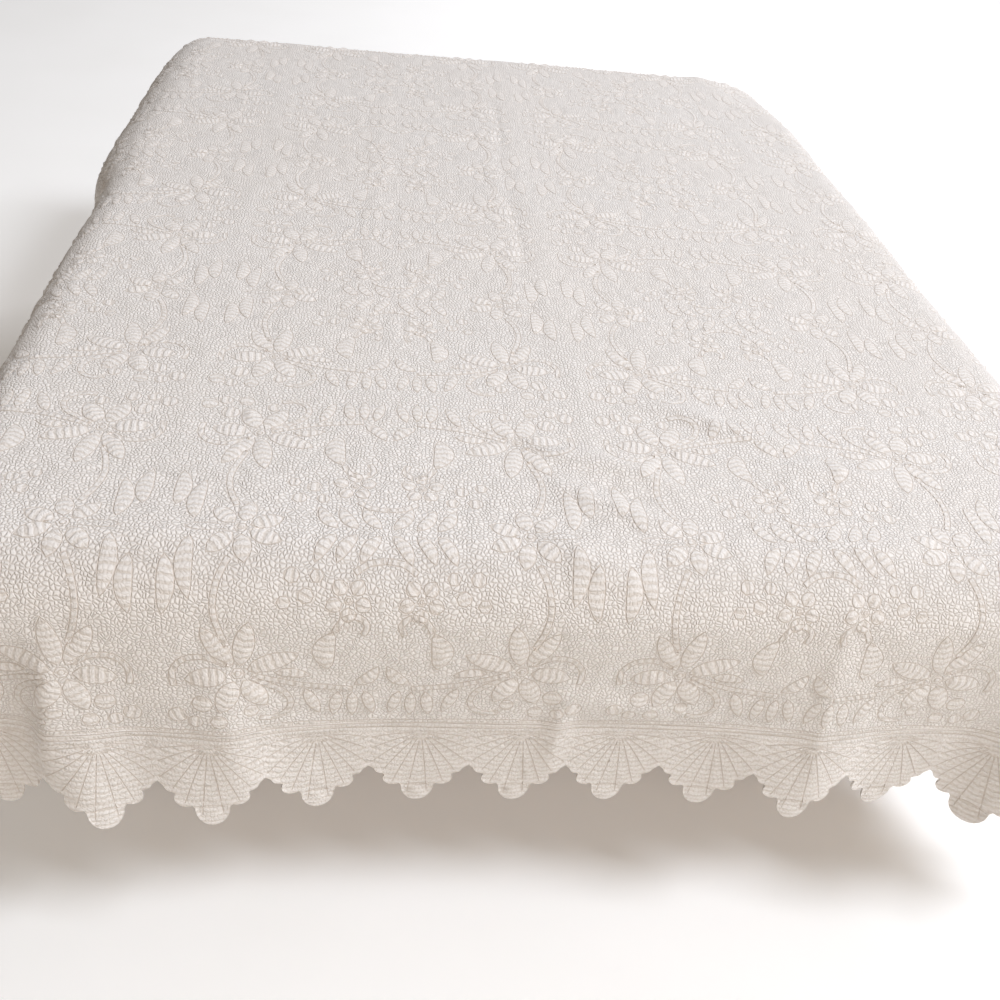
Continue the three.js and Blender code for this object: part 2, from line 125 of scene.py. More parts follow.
def mix_colour(tree: bpy.types.NodeTree, share: bpy.types.NodeSocket, start: Any,
               end: Any) -> bpy.types.NodeSocket:
    """Mixes two colours.

    Args:
        tree: The tree that the node goes in.
        share: The share of the second colour.
        start: The first colour, as hex digits or a socket.
        end: The second colour, as hex digits or a socket.
    Returns:
        The mixed colour.
    """
    one, two = (linear(colour) if isinstance(colour, str) else colour for colour in (start, end))
    return add_node(tree, "ShaderNodeMix", {0: share, 6: one, 7: two}, data_type="RGBA").outputs[2]


def stretch(tree: bpy.types.NodeTree, value: bpy.types.NodeSocket, span: tuple[float, float],
            kind: str = "SMOOTHSTEP") -> bpy.types.NodeSocket:
    """Stretches a span of values over 0 to 1.

    Args:
        tree: The tree that the node goes in.
        value: The value.
        span: Where it becomes 0 and where it becomes 1.
        kind: How it goes from one to the other.
    Returns:
        The stretched value.
    """
    return add_node(tree, "ShaderNodeMapRange", {
        "Value": value, "From Min": span[0], "From Max": span[1]}, interpolation_type=kind).outputs[0]


def noise(tree: bpy.types.NodeTree, place: bpy.types.NodeSocket, scale: float,
          detail: float = 2.0) -> bpy.types.NodeSocket:
    """Adds soft noise.

    Args:
        tree: The tree that the node goes in.
        place: Where it is read.
        scale: How often it varies in a metre.
        detail: How many finer layers lie over it.
    Returns:
        Its value.
    """
    return add_node(tree, "ShaderNodeTexNoise", {
        "Vector": place, "Scale": scale, "Detail": detail}).outputs["Fac"]


def dress(shader: bpy.types.Node, colour: bpy.types.NodeSocket, relief: bpy.types.NodeSocket,
          strength: float, depth: float, **values: float) -> None:
    """Gives a shader its colour and its fine relief, and sets its plain values.

    Args:
        shader: The material's Principled shader.
        colour: Its colour.
        relief: The height of the relief, as a share of its depth.
        strength: How strongly the relief shows.
        depth: The depth of the relief in metres.
        values: Other inputs of the shader, by name with a low line for a space.
    """
    tree = shader.id_data
    bump = add_node(tree, "ShaderNodeBump", {"Height": relief, "Strength": strength, "Distance": depth})
    tree.links.new(colour, shader.inputs["Base Color"])
    tree.links.new(bump.outputs["Normal"], shader.inputs["Normal"])
    for name, value in values.items():
        shader.inputs[name.replace("_", " ")].default_value = value


def smooth(share: np.ndarray) -> np.ndarray:
    """Eases a share from 0 to 1, flat at both ends."""
    held = np.clip(share, 0.0, 1.0)
    return held * held * (3 - 2 * held)


def spline(points: Path, step: float) -> Path:
    """Draws a smooth line through a few points.

    Args:
        points: The points that it passes through.
        step: The spacing of the points that come back.
    Returns:
        Points along the smooth line.
    """
    ends = [points[0], *points, points[-1]]
    line = []
    for before, start, end, after in zip(ends, ends[1:], ends[2:], ends[3:]):
        count = max(1, round(math.dist(start, end) / step))
        for t in (i / count for i in range(count)):
            line.append(tuple(
                0.5 * (2 * s + (e - b) * t + (2 * b - 5 * s + 4 * e - a) * t * t
                       + (3 * s - b - 3 * e + a) * t ** 3)
                for b, s, e, a in zip(before, start, end, after)))
    return [*line, points[-1]]


def beside(line: Path, offset: float) -> Path:
    """Moves a line sideways.

    Args:
        line: The points of the line.
        offset: How far it moves to its left.
    Returns:
        The moved points.
    """
    points = np.array(line)
    along = np.gradient(points, axis=0)
    along /= np.maximum(np.linalg.norm(along, axis=1, keepdims=True), TINY)
    return [tuple(p) for p in points + offset * np.column_stack([-along[:, 1], along[:, 0]])]


@dataclass(frozen=True)
class QuiltedCotton:
    """Matelasse: two cotton cloths woven together over a soft filling, then washed so that it puckers.

    The eye gets a matt, milky white that is never flat: pebbled ground, finer cross ribs where a motif
    stands up, and warmer and cooler patches. Painted shade darkens the hollows between pebbles, the grooves
    between ribs and, most, the stitched furrows. Sizes are metres.
    """

    crest: str = "f5f2ee"
    warm: str = "f2ebe3"
    # painted shade in the hollows of the pebbled ground
    hollow_shade: str = "e3dbd3"
    # the crest of a ribbed shape, painted a little darker to match the painted shade of the ground's hollows
    petal: str = "f2ede8"
    # painted shade in the grooves between ribs
    groove_shade: str = "dfd6cc"
    # painted shade along the stitched furrows
    furrow_shade: str = "d6cbc0"
    pebble: float = 0.0051
    pebble_jumble: float = 0.9
    pebble_flank: tuple[float, float] = (-0.04, 0.36)
    wander: float = 0.0085
    wander_scale: float = 70.0
    rib: float = 0.0092
    rib_sway: float = 3.6
    rib_sway_scale: float = 1.1
    rib_flank: tuple[float, float] = (0.0, 0.75)
    rib_breaks: float = 0.36
    furrow_half: float = 0.0012
    lump: float = 0.028
    lump_share: float = 2.1
    patch_scale: float = 2.3
    depth: float = 0.0012
    strength: float = 0.85
    roughness: float = 0.92
    shine: float = 0.2
    sheen: float = 0.15

    def material(self) -> bpy.types.Material:
        """Builds the cloth from its flat layout, its rib layout and its stitched lines.

        Returns:
            The material.
        """
        material, tree, shader = new_material("quilted_cotton")
        flat, ribbed = (add_node(tree, "ShaderNodeUVMap", uv_map=name).outputs["UV"]
                        for name in ("flat", "ribs"))
        stitch, raised = (add_node(tree, "ShaderNodeAttribute", attribute_name=name).outputs["Fac"]
                          for name in ("stitch", "raised"))
        ground = self.pebbles(tree, flat)
        # the ribs are broken by the same puckers, more faintly
        broken = add_node(tree, "ShaderNodeMix", {
            0: self.rib_breaks, 2: self.ribs(tree, ribbed), 3: ground}).outputs[0]
        cloth = add_node(tree, "ShaderNodeMix", {0: raised, 2: ground, 3: broken}).outputs[0]
        clear = stretch(tree, stitch, (0.0, self.furrow_half))
        height = add_node(tree, "ShaderNodeMath", {0: cloth, 1: clear}, operation="MULTIPLY").outputs[0]
        # washing also shrinks the filling unevenly, which leaves soft lumps under the puckers
        relief = add_node(tree, "ShaderNodeMath", {
            0: noise(tree, flat, 1 / self.lump, 1.0), 1: self.lump_share, 2: height},
            operation="MULTIPLY_ADD").outputs[0]
        crest = mix_colour(tree, noise(tree, flat, self.patch_scale), self.crest, self.warm)
        # a ribbed shape has fewer hollows than the ground, and those hollows carry painted shade, so its
        # crest is painted a little darker to match
        top = mix_colour(tree, raised, crest, self.petal)
        # painted shade: the colour of the low parts, in the hollows between pebbles and the grooves between
        # ribs
        shade_colour = mix_colour(tree, raised, self.hollow_shade, self.groove_shade)
        # painted shade: the colour darkens where the relief is low and is darkest along the stitched furrows
        colour = mix_colour(tree, clear, self.furrow_shade, mix_colour(tree, height, shade_colour, top))
        dress(shader, colour, relief, self.strength, self.depth, Roughness=self.roughness,
              Specular_IOR_Level=self.shine, Sheen_Weight=self.sheen)
        return material

    def pebbles(self, tree: bpy.types.NodeTree, flat: bpy.types.NodeSocket) -> bpy.types.NodeSocket:
        """Gives the height of the puckered ground.

        Args:
            tree: The material's nodes.
            flat: Places on the flat cloth.
        Returns:
            From 0 low between pebbles to 1 on a pebble.
        """
        # the puckers wander, so the pebbles are read from a slightly warped layout
        sway = add_node(tree, "ShaderNodeTexNoise", {
            "Vector": flat, "Scale": self.wander_scale, "Detail": 1.0}).outputs["Color"]
        warped = add_node(tree, "ShaderNodeVectorMath", {
            0: sway, 1: (self.wander, self.wander, 0.0), 2: flat}, operation="MULTIPLY_ADD")
        pebbles = add_node(tree, "ShaderNodeTexVoronoi", {
            "Vector": warped.outputs[0], "Scale": 1 / self.pebble, "Randomness": self.pebble_jumble},
            voronoi_dimensions="2D", feature="DISTANCE_TO_EDGE")
        return stretch(tree, pebbles.outputs["Distance"], self.pebble_flank)

    def ribs(self, tree: bpy.types.NodeTree, ribbed: bpy.types.NodeSocket) -> bpy.types.NodeSocket:
        """Gives the height of the ribs, each a broad roll beside a narrow sunk line.

        Args:
            tree: The material's nodes.
            ribbed: Places in the rib layout.
        Returns:
            From 0 low between rolls to 1 on a roll.
        """
        waves = add_node(tree, "ShaderNodeTexWave", {
            "Vector": ribbed, "Scale": WAVE_METRE / self.rib, "Distortion": self.rib_sway, "Detail": 2.0,
            "Detail Scale": self.rib_sway_scale}, wave_type="BANDS", bands_direction="Y")
        return stretch(tree, waves.outputs["Fac"], self.rib_flank)


@dataclass(frozen=True)
class Ticking:
    """Mattress ticking: a tight cotton twill with thin woven stripes, matt and a little yellowed.

    A real thread is under a millimetre, so the weave is drawn coarser than it is.
    """

    ground: str = "e4ded2"
    stripe: str = "b3ab9f"
    half_pitch: float = 0.030
    stripe_flank: tuple[float, float] = (0.86, 0.94)
    weave_scale: float = 420.0
    depth: float = 0.0008
    strength: float = 0.35
    roughness: float = 0.88

    def material(self) -> bpy.types.Material:
        """Builds the ticking with upright stripes and a fine uneven weave.

        Returns:
            The material.
        """
        material, tree, shader = new_material("ticking")
        place = add_node(tree, "ShaderNodeTexCoord").outputs["Object"]
        # the stripes run straight up every side, so height is left out of them
        level = add_node(tree, "ShaderNodeMapping", {"Vector": place, "Scale": (1.0, 1.0, 0.0)})
        stripes = add_node(tree, "ShaderNodeTexWave", {
            "Vector": level.outputs["Vector"], "Scale": WAVE_METRE / self.half_pitch},
            bands_direction="DIAGONAL").outputs["Fac"]
        thin = stretch(tree, stripes, self.stripe_flank, "LINEAR")
        weave = noise(tree, place, self.weave_scale)
        worn = add_node(tree, "ShaderNodeMath", {0: thin, 1: weave}, operation="MULTIPLY").outputs[0]
        dress(shader, mix_colour(tree, worn, self.ground, self.stripe), weave, self.strength, self.depth,
              Roughness=self.roughness)
        return material


@dataclass(frozen=True)
class OiledOak:
    """Oak boards rubbed with oil: long streaked grain, satin where the light grazes it."""

    name: str
    early: str
    late: str
    roughness: float
    along: tuple[float, float, float]
    streak_scale: float = 9.0
    streak_flank: tuple[float, float] = (0.34, 0.68)
    pore_scale: float = 60.0
    depth: float = 0.001
    strength: float = 0.25

    def material(self) -> bpy.types.Material:
        """Builds the wood with grain drawn out along the boards.

        Returns:
            The material.
        """
        material, tree, shader = new_material(self.name)
        place = add_node(tree, "ShaderNodeTexCoord").outputs["Object"]
        drawn = add_node(tree, "ShaderNodeMapping", {"Vector": place, "Scale": self.along}).outputs["Vector"]
        streaks = add_node(tree, "ShaderNodeTexNoise", {
            "Vector": drawn, "Scale": self.streak_scale, "Detail": 7.0, "Roughness": 0.62,
            "Distortion": 0.6}).outputs["Fac"]
        share = stretch(tree, streaks, self.streak_flank, "LINEAR")
        pores = noise(tree, drawn, self.pore_scale)
        dress(shader, mix_colour(tree, share, self.early, self.late), pores, self.strength, self.depth,
              Roughness=self.roughness)
        return material


class Edge(Enum):
    """The stretches of the hem, round the bed from the head of its left side."""

    LEFT = "left side"
    FOOT_LEFT = "left corner of the foot"
    FOOT = "foot"
    FOOT_RIGHT = "right corner of the foot"
    RIGHT = "right side"


@dataclass(frozen=True)
class Fold:
    """A place where the hanging cloth stands away from the mattress.

    At is millimetres from the middle of a straight edge or the share of a corner; before and after are
    its half widths along the hem, lean is how far the hem stands out, and shoulder softens the bend.
    """

    edge: Edge
    at: float
    before: float
    after: float
    lean: float
    shoulder: float = 0.0
    power: float = 2.0


@dataclass(frozen=True)
class Dip:
    """A sunk corner of the bed, at the right of the head."""

    depth: float = 38.0
    across: float = 180.0
    along: float = 420.0
    power: float = 1.5

    def at(self, x: np.ndarray, y: np.ndarray, corner: Point) -> np.ndarray:
        """Tells how far the surface has sunk.

        Args:
            x: Places across the bed.
            y: Places along the bed.
            corner: The corner that sinks most.
        Returns:
            The drop at each place.
        """
        away = np.hypot(np.maximum(corner[0] - x, 0) / self.across,
                        np.maximum(corner[1] - y, 0) / self.along)
        return self.depth * np.maximum(1 - away, 0) ** self.power


@dataclass(frozen=True)
class Ripple:
    """A loose lift of the cloth at the head edge."""

    at: float
    half_width: float
    height: float


@dataclass
class Drape:
    """How the flat cut lies on the mattress and hangs from it, in millimetres."""

    half_width: float
    half_length: float
    mattress_top: float
    seat_gap: float = 0.3
    thickness: float = 3.0
    side_gap: float = 3.0
    bend: float = 76.0
    tip_length: float = 437.0
    head_turn: float = 95.0
    hem_line: float = 405.0
    ripple_reach: float = 110.0
    dip: Dip = Dip()
    ripples: tuple[Ripple, ...] = (Ripple(569, 30, 12), Ripple(657, 26, 8))
    folds: tuple[Fold, ...] = (
        Fold(Edge.LEFT, 560, 420, 455, 6, 56, 8),
        Fold(Edge.LEFT, -150, 70, 80, 30),
        Fold(Edge.LEFT, -455, 95, 70, 44),
        Fold(Edge.LEFT, -760, 60, 90, 28),
        Fold(Edge.FOOT_LEFT, 0.45, 215, 190, 186),
        Fold(Edge.FOOT, -580, 45, 72, 70),
        Fold(Edge.FOOT, -445, 68, 130, 57),
        Fold(Edge.FOOT, 362, 112, 60, 40),
        Fold(Edge.FOOT, 640, 56, 70, 84),
        Fold(Edge.FOOT_RIGHT, 0.56, 205, 195, 198),
        Fold(Edge.RIGHT, -720, 70, 90, 40),
        Fold(Edge.RIGHT, -400, 100, 65, 26),
        Fold(Edge.RIGHT, -90, 75, 80, 46),
        Fold(Edge.RIGHT, 260, 85, 70, 34),
        Fold(Edge.RIGHT, 590, 60, 95, 42),
        Fold(Edge.RIGHT, 880, 80, 60, 24),
    )

    def __post_init__(self) -> None:
        """Works out the flat top and the runs along the hem from the mattress."""
        self.top = self.mattress_top + self.seat_gap + self.thickness
        self.flat_x = self.half_width + self.side_gap + self.thickness - self.bend
        self.flat_y = self.half_length + self.side_gap + self.thickness - self.bend
        self.head_end = self.flat_y + self.head_turn
        self.side_run = self.flat_y + self.head_end
        self.corner_run = self.hem_line * math.pi / 2
        self.foot_start = self.side_run + self.corner_run
        self.foot_end = self.foot_start + 2 * self.flat_x
        self.right_start = self.foot_end + self.corner_run
        self.hem_run = self.right_start + self.side_run
        self.corner = (self.half_width, self.half_length)

    def run_at(self, edge: Edge, at: float) -> float:
        """Measures along the hem.

        Args:
            edge: The stretch of hem.
            at: Millimetres from the middle of a straight edge, or the share of a corner.
        Returns:
            The run from the head end of the left side.
        """
        return {
            Edge.LEFT: self.head_end - at,
            Edge.FOOT_LEFT: self.side_run + at * self.corner_run,
            Edge.FOOT: self.foot_start + self.flat_x + at,
            Edge.FOOT_RIGHT: self.foot_end + at * self.corner_run,
            Edge.RIGHT: self.right_start + self.flat_y + at,
        }[edge]

    def flat_at(self, run: float, length: float) -> Point:
        """Finds a place of the hanging cloth on the flat cut.

        Args:
            run: How far along the hem.
            length: How far past the edge of the flat top.
        Returns:
            The place on the flat cut.
        """
        if run < self.side_run:
            return -self.flat_x - length, self.head_end - run
        if run < self.foot_start:
            turn = (run - self.side_run) / self.hem_line
            return -self.flat_x - length * math.cos(turn), -self.flat_y - length * math.sin(turn)
        if run < self.foot_end:
            return run - self.foot_start - self.flat_x, -self.flat_y - length
        if run < self.right_start:
            turn = (run - self.foot_end) / self.hem_line
            return self.flat_x + length * math.sin(turn), -self.flat_y - length * math.cos(turn)
        return self.flat_x + length, run - self.right_start - self.flat_y

    def unroll(self, flat: np.ndarray) -> tuple[np.ndarray, np.ndarray, np.ndarray]:
        """Reads places of the flat cut as places on the hanging cloth.

        Args:
            flat: Places on the flat cut.
        Returns:
            The run along the hem, the length past the flat top, and the way out from the bed.
        """
        u, v = flat[:, 0], flat[:, 1]
        across = u - np.clip(u, -self.flat_x, self.flat_x)
        foot = np.maximum(-self.flat_y - v, 0)
        length = np.hypot(across, foot)
        turn = np.arctan2(foot, np.abs(across)) * self.hem_line
        side = np.where(across < 0, self.side_run + turn, self.right_start - turn)
        along = np.maximum(v + self.flat_y, 0)
        side += np.where(across < 0, -along, along)
        run = np.where(across == 0, self.foot_start + self.flat_x + u, side)
        away = np.column_stack([across, -foot]) / np.maximum(length, TINY)[:, None]
        return run, length, away

    def folds_at(self, run: np.ndarray) -> tuple[np.ndarray, np.ndarray]:
        """Adds up the folds.

        Args:
            run: Places along the hem.
        Returns:
            The lean from upright and the radius of the bend at each place.
        """
        out = np.zeros_like(run)
        bend = np.full_like(run, self.bend)
        for fold in self.folds:
            apart = run - self.run_at(fold.edge, fold.at)
            width = np.where(apart < 0, fold.before, fold.after)
            share = np.exp(-np.abs(apart / width) ** fold.power)
            out += fold.lean * share
            bend += fold.shoulder * share
        return np.arcsin(out / self.tip_length), bend

    def place(self, flat: np.ndarray) -> np.ndarray:
        """Drapes places of the flat cut over the bed.

        Args:
            flat: Places on the flat cut.
        Returns:
            Where they come to lie.
        """
        u, v = flat[:, 0], flat[:, 1]
        run, length, away = self.unroll(flat)
        lean, bend = self.folds_at(run)
        turn = np.minimum(length / bend, math.pi / 2 - lean)
        rest = length - bend * turn
        out = bend * np.sin(turn) + rest * np.sin(lean)
        down = bend * (1 - np.cos(turn)) + rest * np.cos(lean)
        free = smooth(length / (2 * self.bend))
        past = np.maximum(v - self.flat_y, 0)
        x = np.clip(u, -self.flat_x, self.flat_x) + out * away[:, 0]
        y = np.clip(v, -self.flat_y, self.flat_y) + out * away[:, 1]
        y += self.bend * np.sin(past / self.bend) * (1 - free) + past * free
        z = self.top - down - self.bend * (1 - np.cos(past / self.bend)) * (1 - free)
        near_head = smooth(1 - (self.head_end - v) / self.ripple_reach) * (1 - free)
        for ripple in self.ripples:
            z += near_head * ripple.height * np.exp(-((u - ripple.at) / ripple.half_width) ** 2)
        return np.column_stack([x, y, z - self.dip.at(x, y, self.corner)])

    def outward(self, flat: np.ndarray, step: float = 2.0) -> np.ndarray:
        """Finds which way the cloth's face looks.

        Args:
            flat: Places on the flat cut.
            step: The distance over which the slope is read.
        Returns:
            The unit normals.
        """
        across = self.place(flat + [step, 0]) - self.place(flat - [step, 0])
        along = self.place(flat + [0, step]) - self.place(flat - [0, step])
        normal = np.cross(across, along)
        return normal / np.linalg.norm(normal, axis=1, keepdims=True)


@dataclass(frozen=True)
class Leaf:
    """A padded leaf or petal: base, heading in degrees, length, greatest width and sideways bow."""

    base: Point
    heading: float
    length: float
    width: float
    bow: float = 0.0
    skew: float = 0.9
    fullness: float = 0.64

    def spot(self, share: float, side: float) -> Point:
        """Finds a place on the leaf.

        Args:
            share: How far along it, from 0 to 1.
            side: From -1 at its right edge to 1 at its left.
        Returns:
            The place.
        """
        turn = math.radians(self.heading)
        along = self.length * share
        belly = math.sin(math.pi * share ** self.skew) ** self.fullness
        off = side * self.width / 2 * belly + self.bow * math.sin(math.pi * share)
        return (self.base[0] + along * math.cos(turn) - off * math.sin(turn),
                self.base[1] + along * math.sin(turn) + off * math.cos(turn))

    def outline(self) -> Path:
        """Draws the leaf's outline.

        Returns:
            The points of the closed line.
        """
        count = max(5, round(self.length / OUTLINE_STEP))
        half = [i / count for i in range(count + 1)]
        return [self.spot(t, side) for t, side in [(t, -1) for t in half] + [(t, 1) for t in half[-2:0:-1]]]

    def crown(self) -> Path:
        """Lists the high points along its middle."""
        count = max(3, round(self.length / OUTLINE_STEP))
        return [self.spot(i / count, 0) for i in range(1, count)]


@dataclass(frozen=True)
class Bud:
    """A round padded bud."""

    middle: Point
    radius: float

    def outline(self) -> Path:
        """Draws the bud's outline.

        Returns:
            The points of the closed line.
        """
        count = max(6, round(self.radius * BUD_POINTS))
        turns = [2 * math.pi * i / count for i in range(count)]
        return [(self.middle[0] + self.radius * math.cos(t), self.middle[1] + self.radius * math.sin(t))
                for t in turns]

    def crown(self) -> Path:
        """Gives its high point."""
        return [self.middle]


@dataclass(frozen=True)
class Vine:
    """A stitched stem; a wide one is a padded cord between two stitched lines."""

    points: tuple[Point, ...]
    half_width: float = 3.6

    def lines(self) -> list[Path]:
        """Draws the stem's stitched lines."""
        middle = self.middle()
        return [middle] if self.half_width == 0 else [beside(middle, s * self.half_width) for s in (-1, 1)]

    def middle(self) -> Path:
        """Draws the line down the stem's middle."""
        return spline(list(self.points), STEM_STEP)

    def outline(self) -> Path:
        """Draws the closed outline of a padded stem."""
        left, right = self.lines()
        return right + left[::-1]

    def crown(self) -> Path:
        """Lists the high points along the middle of a padded stem."""
        line = self.middle()
        return [((a[0] + b[0]) / 2, (a[1] + b[1]) / 2) for a, b in zip(line, line[1:])]


def flower(middle: Point, petals: Petals, start: float, eye: float) -> list[Leaf | Bud]:
    """Sets petals round a flower's eye.

    Args:
        middle: The middle of the flower.
        petals: Heading, length and width of each petal.
        start: How far from the middle the petals begin.
        eye: The radius of the eye.
    Returns:
        The petals and the eye.
    """
    made: list[Leaf | Bud] = [Bud(middle, eye), Bud(middle, eye / 2)]
    for heading, length, width in petals:
        turn = math.radians(heading)
        base = (middle[0] + start * math.cos(turn), middle[1] + start * math.sin(turn))
        made.append(Leaf(base, heading, length, width))
    return made


@dataclass
class FlowerPattern:
    """The woven repeat of flowers, leaves and vines, a quarter of it drawn and mirrored both ways.

    Places are millimetres across from the middle of a pair of flowers and along from a leafy row.
    """

    pair_x: float = 45.0
    across: float = 526.0
    leafy_row: float = -943.5
    along: float = 562.5
    full_flower: Point = (97.0, 187.5)
    small_flower: Point = (97.0, 0.0)
    full_petals: Petals = (
        (-22, 64, 25), (-79, 66, 24), (-120, 66, 23), (172, 50, 27), (112, 50, 26), (60, 50, 26))
    small_petals: Petals = ((23, 40, 23), (80, 36, 21), (134, 38, 22))
    leaves: tuple[Leaf, ...] = (
        Leaf((43, 14), 87, 72, 20, 5), Leaf((19, 38), 91, 66, 20, -4),
        Leaf((205, 5), 120, 44, 16, 3), Leaf((229, 5), 120, 44, 16, 3), Leaf((256, 6), 120, 44, 16, 3),
        Leaf((138, 189), 8, 42, 14, -2), Leaf((172, 217), 68, 46, 15), Leaf((211, 223), 98, 42, 15),
        Leaf((228, 224), 90, 42, 14), Leaf((242, 222), 74, 42, 14), Leaf((230, 211), -48, 42, 17, 5),
        Leaf((199, 184), -84, 60, 26, -8))
    buds: tuple[Bud, ...] = (
        Bud((55, 232), 12), Bud((26, 251), 11), Bud((46, 260), 9), Bud((73, 259), 10), Bud((110, 246), 9),
        Bud((158, 58), 9), Bud((174, 80), 9), Bud((150, 88), 8), Bud((186, 58), 8))
    petal_start: float = 11.0
    eye: float = 8.0
    blossom: Point = (222.0, 84.0)
    blossom_petals: Petals = tuple((72.0 * i + 18, 19.0, 18.0) for i in range(5))
    blossom_start: float = 8.0
    blossom_eye: float = 5.5
    row_slack: float = 0.5
    vines: tuple[Vine, ...] = (
        Vine(((88, 40), (77, 66), (73, 94), (78, 122), (86, 146))),
        Vine(((112, 191), (140, 201), (175, 211), (228, 218))),
        Vine(((112, 196), (132, 208), (149, 221), (156, 239), (149, 255), (134, 262), (119, 259))),
        Vine(((84, 175), (62, 163), (38, 166), (24, 184), (25, 206))),
        Vine(((228, 54), (243, 43), (262, 40))),
        Vine(((207, 124), (216, 107), (233, 103), (244, 114), (239, 128))),
        Vine(((82, 3), (62, 6), (44, 5), (35, 0)), 0.0))

    def shapes(self) -> list[Leaf | Bud | Vine]:
        """Lists the padded shapes of the drawn quarter."""
        return [*flower(self.full_flower, self.full_petals, self.petal_start, self.eye),
                *flower(self.small_flower, self.small_petals, self.petal_start, self.eye),
                *flower(self.blossom, self.blossom_petals, self.blossom_start, self.blossom_eye),
                *self.leaves, *self.buds, *(vine for vine in self.vines if vine.half_width)]

    def lines(self) -> list[Path]:
        """Lists the single stitched lines of the drawn quarter."""
        return [line for vine in self.vines if not vine.half_width for line in vine.lines()]

    def repeat(self, quarter: Path, low: Point, high: Point) -> Iterator[Path]:
        """Mirrors and repeats a drawn line over the cloth.

        Args:
            quarter: The line in the drawn quarter.
            low: The lowest corner of the cloth.
            high: Its highest corner.
        Yields:
            Each copy on the flat cut.
        """
        columns = range(math.floor((low[0] - self.pair_x) / self.across),
                        math.ceil((high[0] - self.pair_x) / self.across) + 1)
        rows = range(math.floor((low[1] - self.leafy_row) / self.along),
                     math.ceil((high[1] - self.leafy_row) / self.along) + 1)
        # a line that lies along the leafy row is its own mirror image
        on_row = abs(np.mean([b for _, b in quarter])) < self.row_slack
        for column in columns:
            for row in rows:
                for side in (-1, 1):
                    for way in (1,) if on_row else (-1, 1):
                        yield [(self.pair_x + column * self.across + side * a,
                                self.leafy_row + row * self.along + way * b) for a, b in quarter]


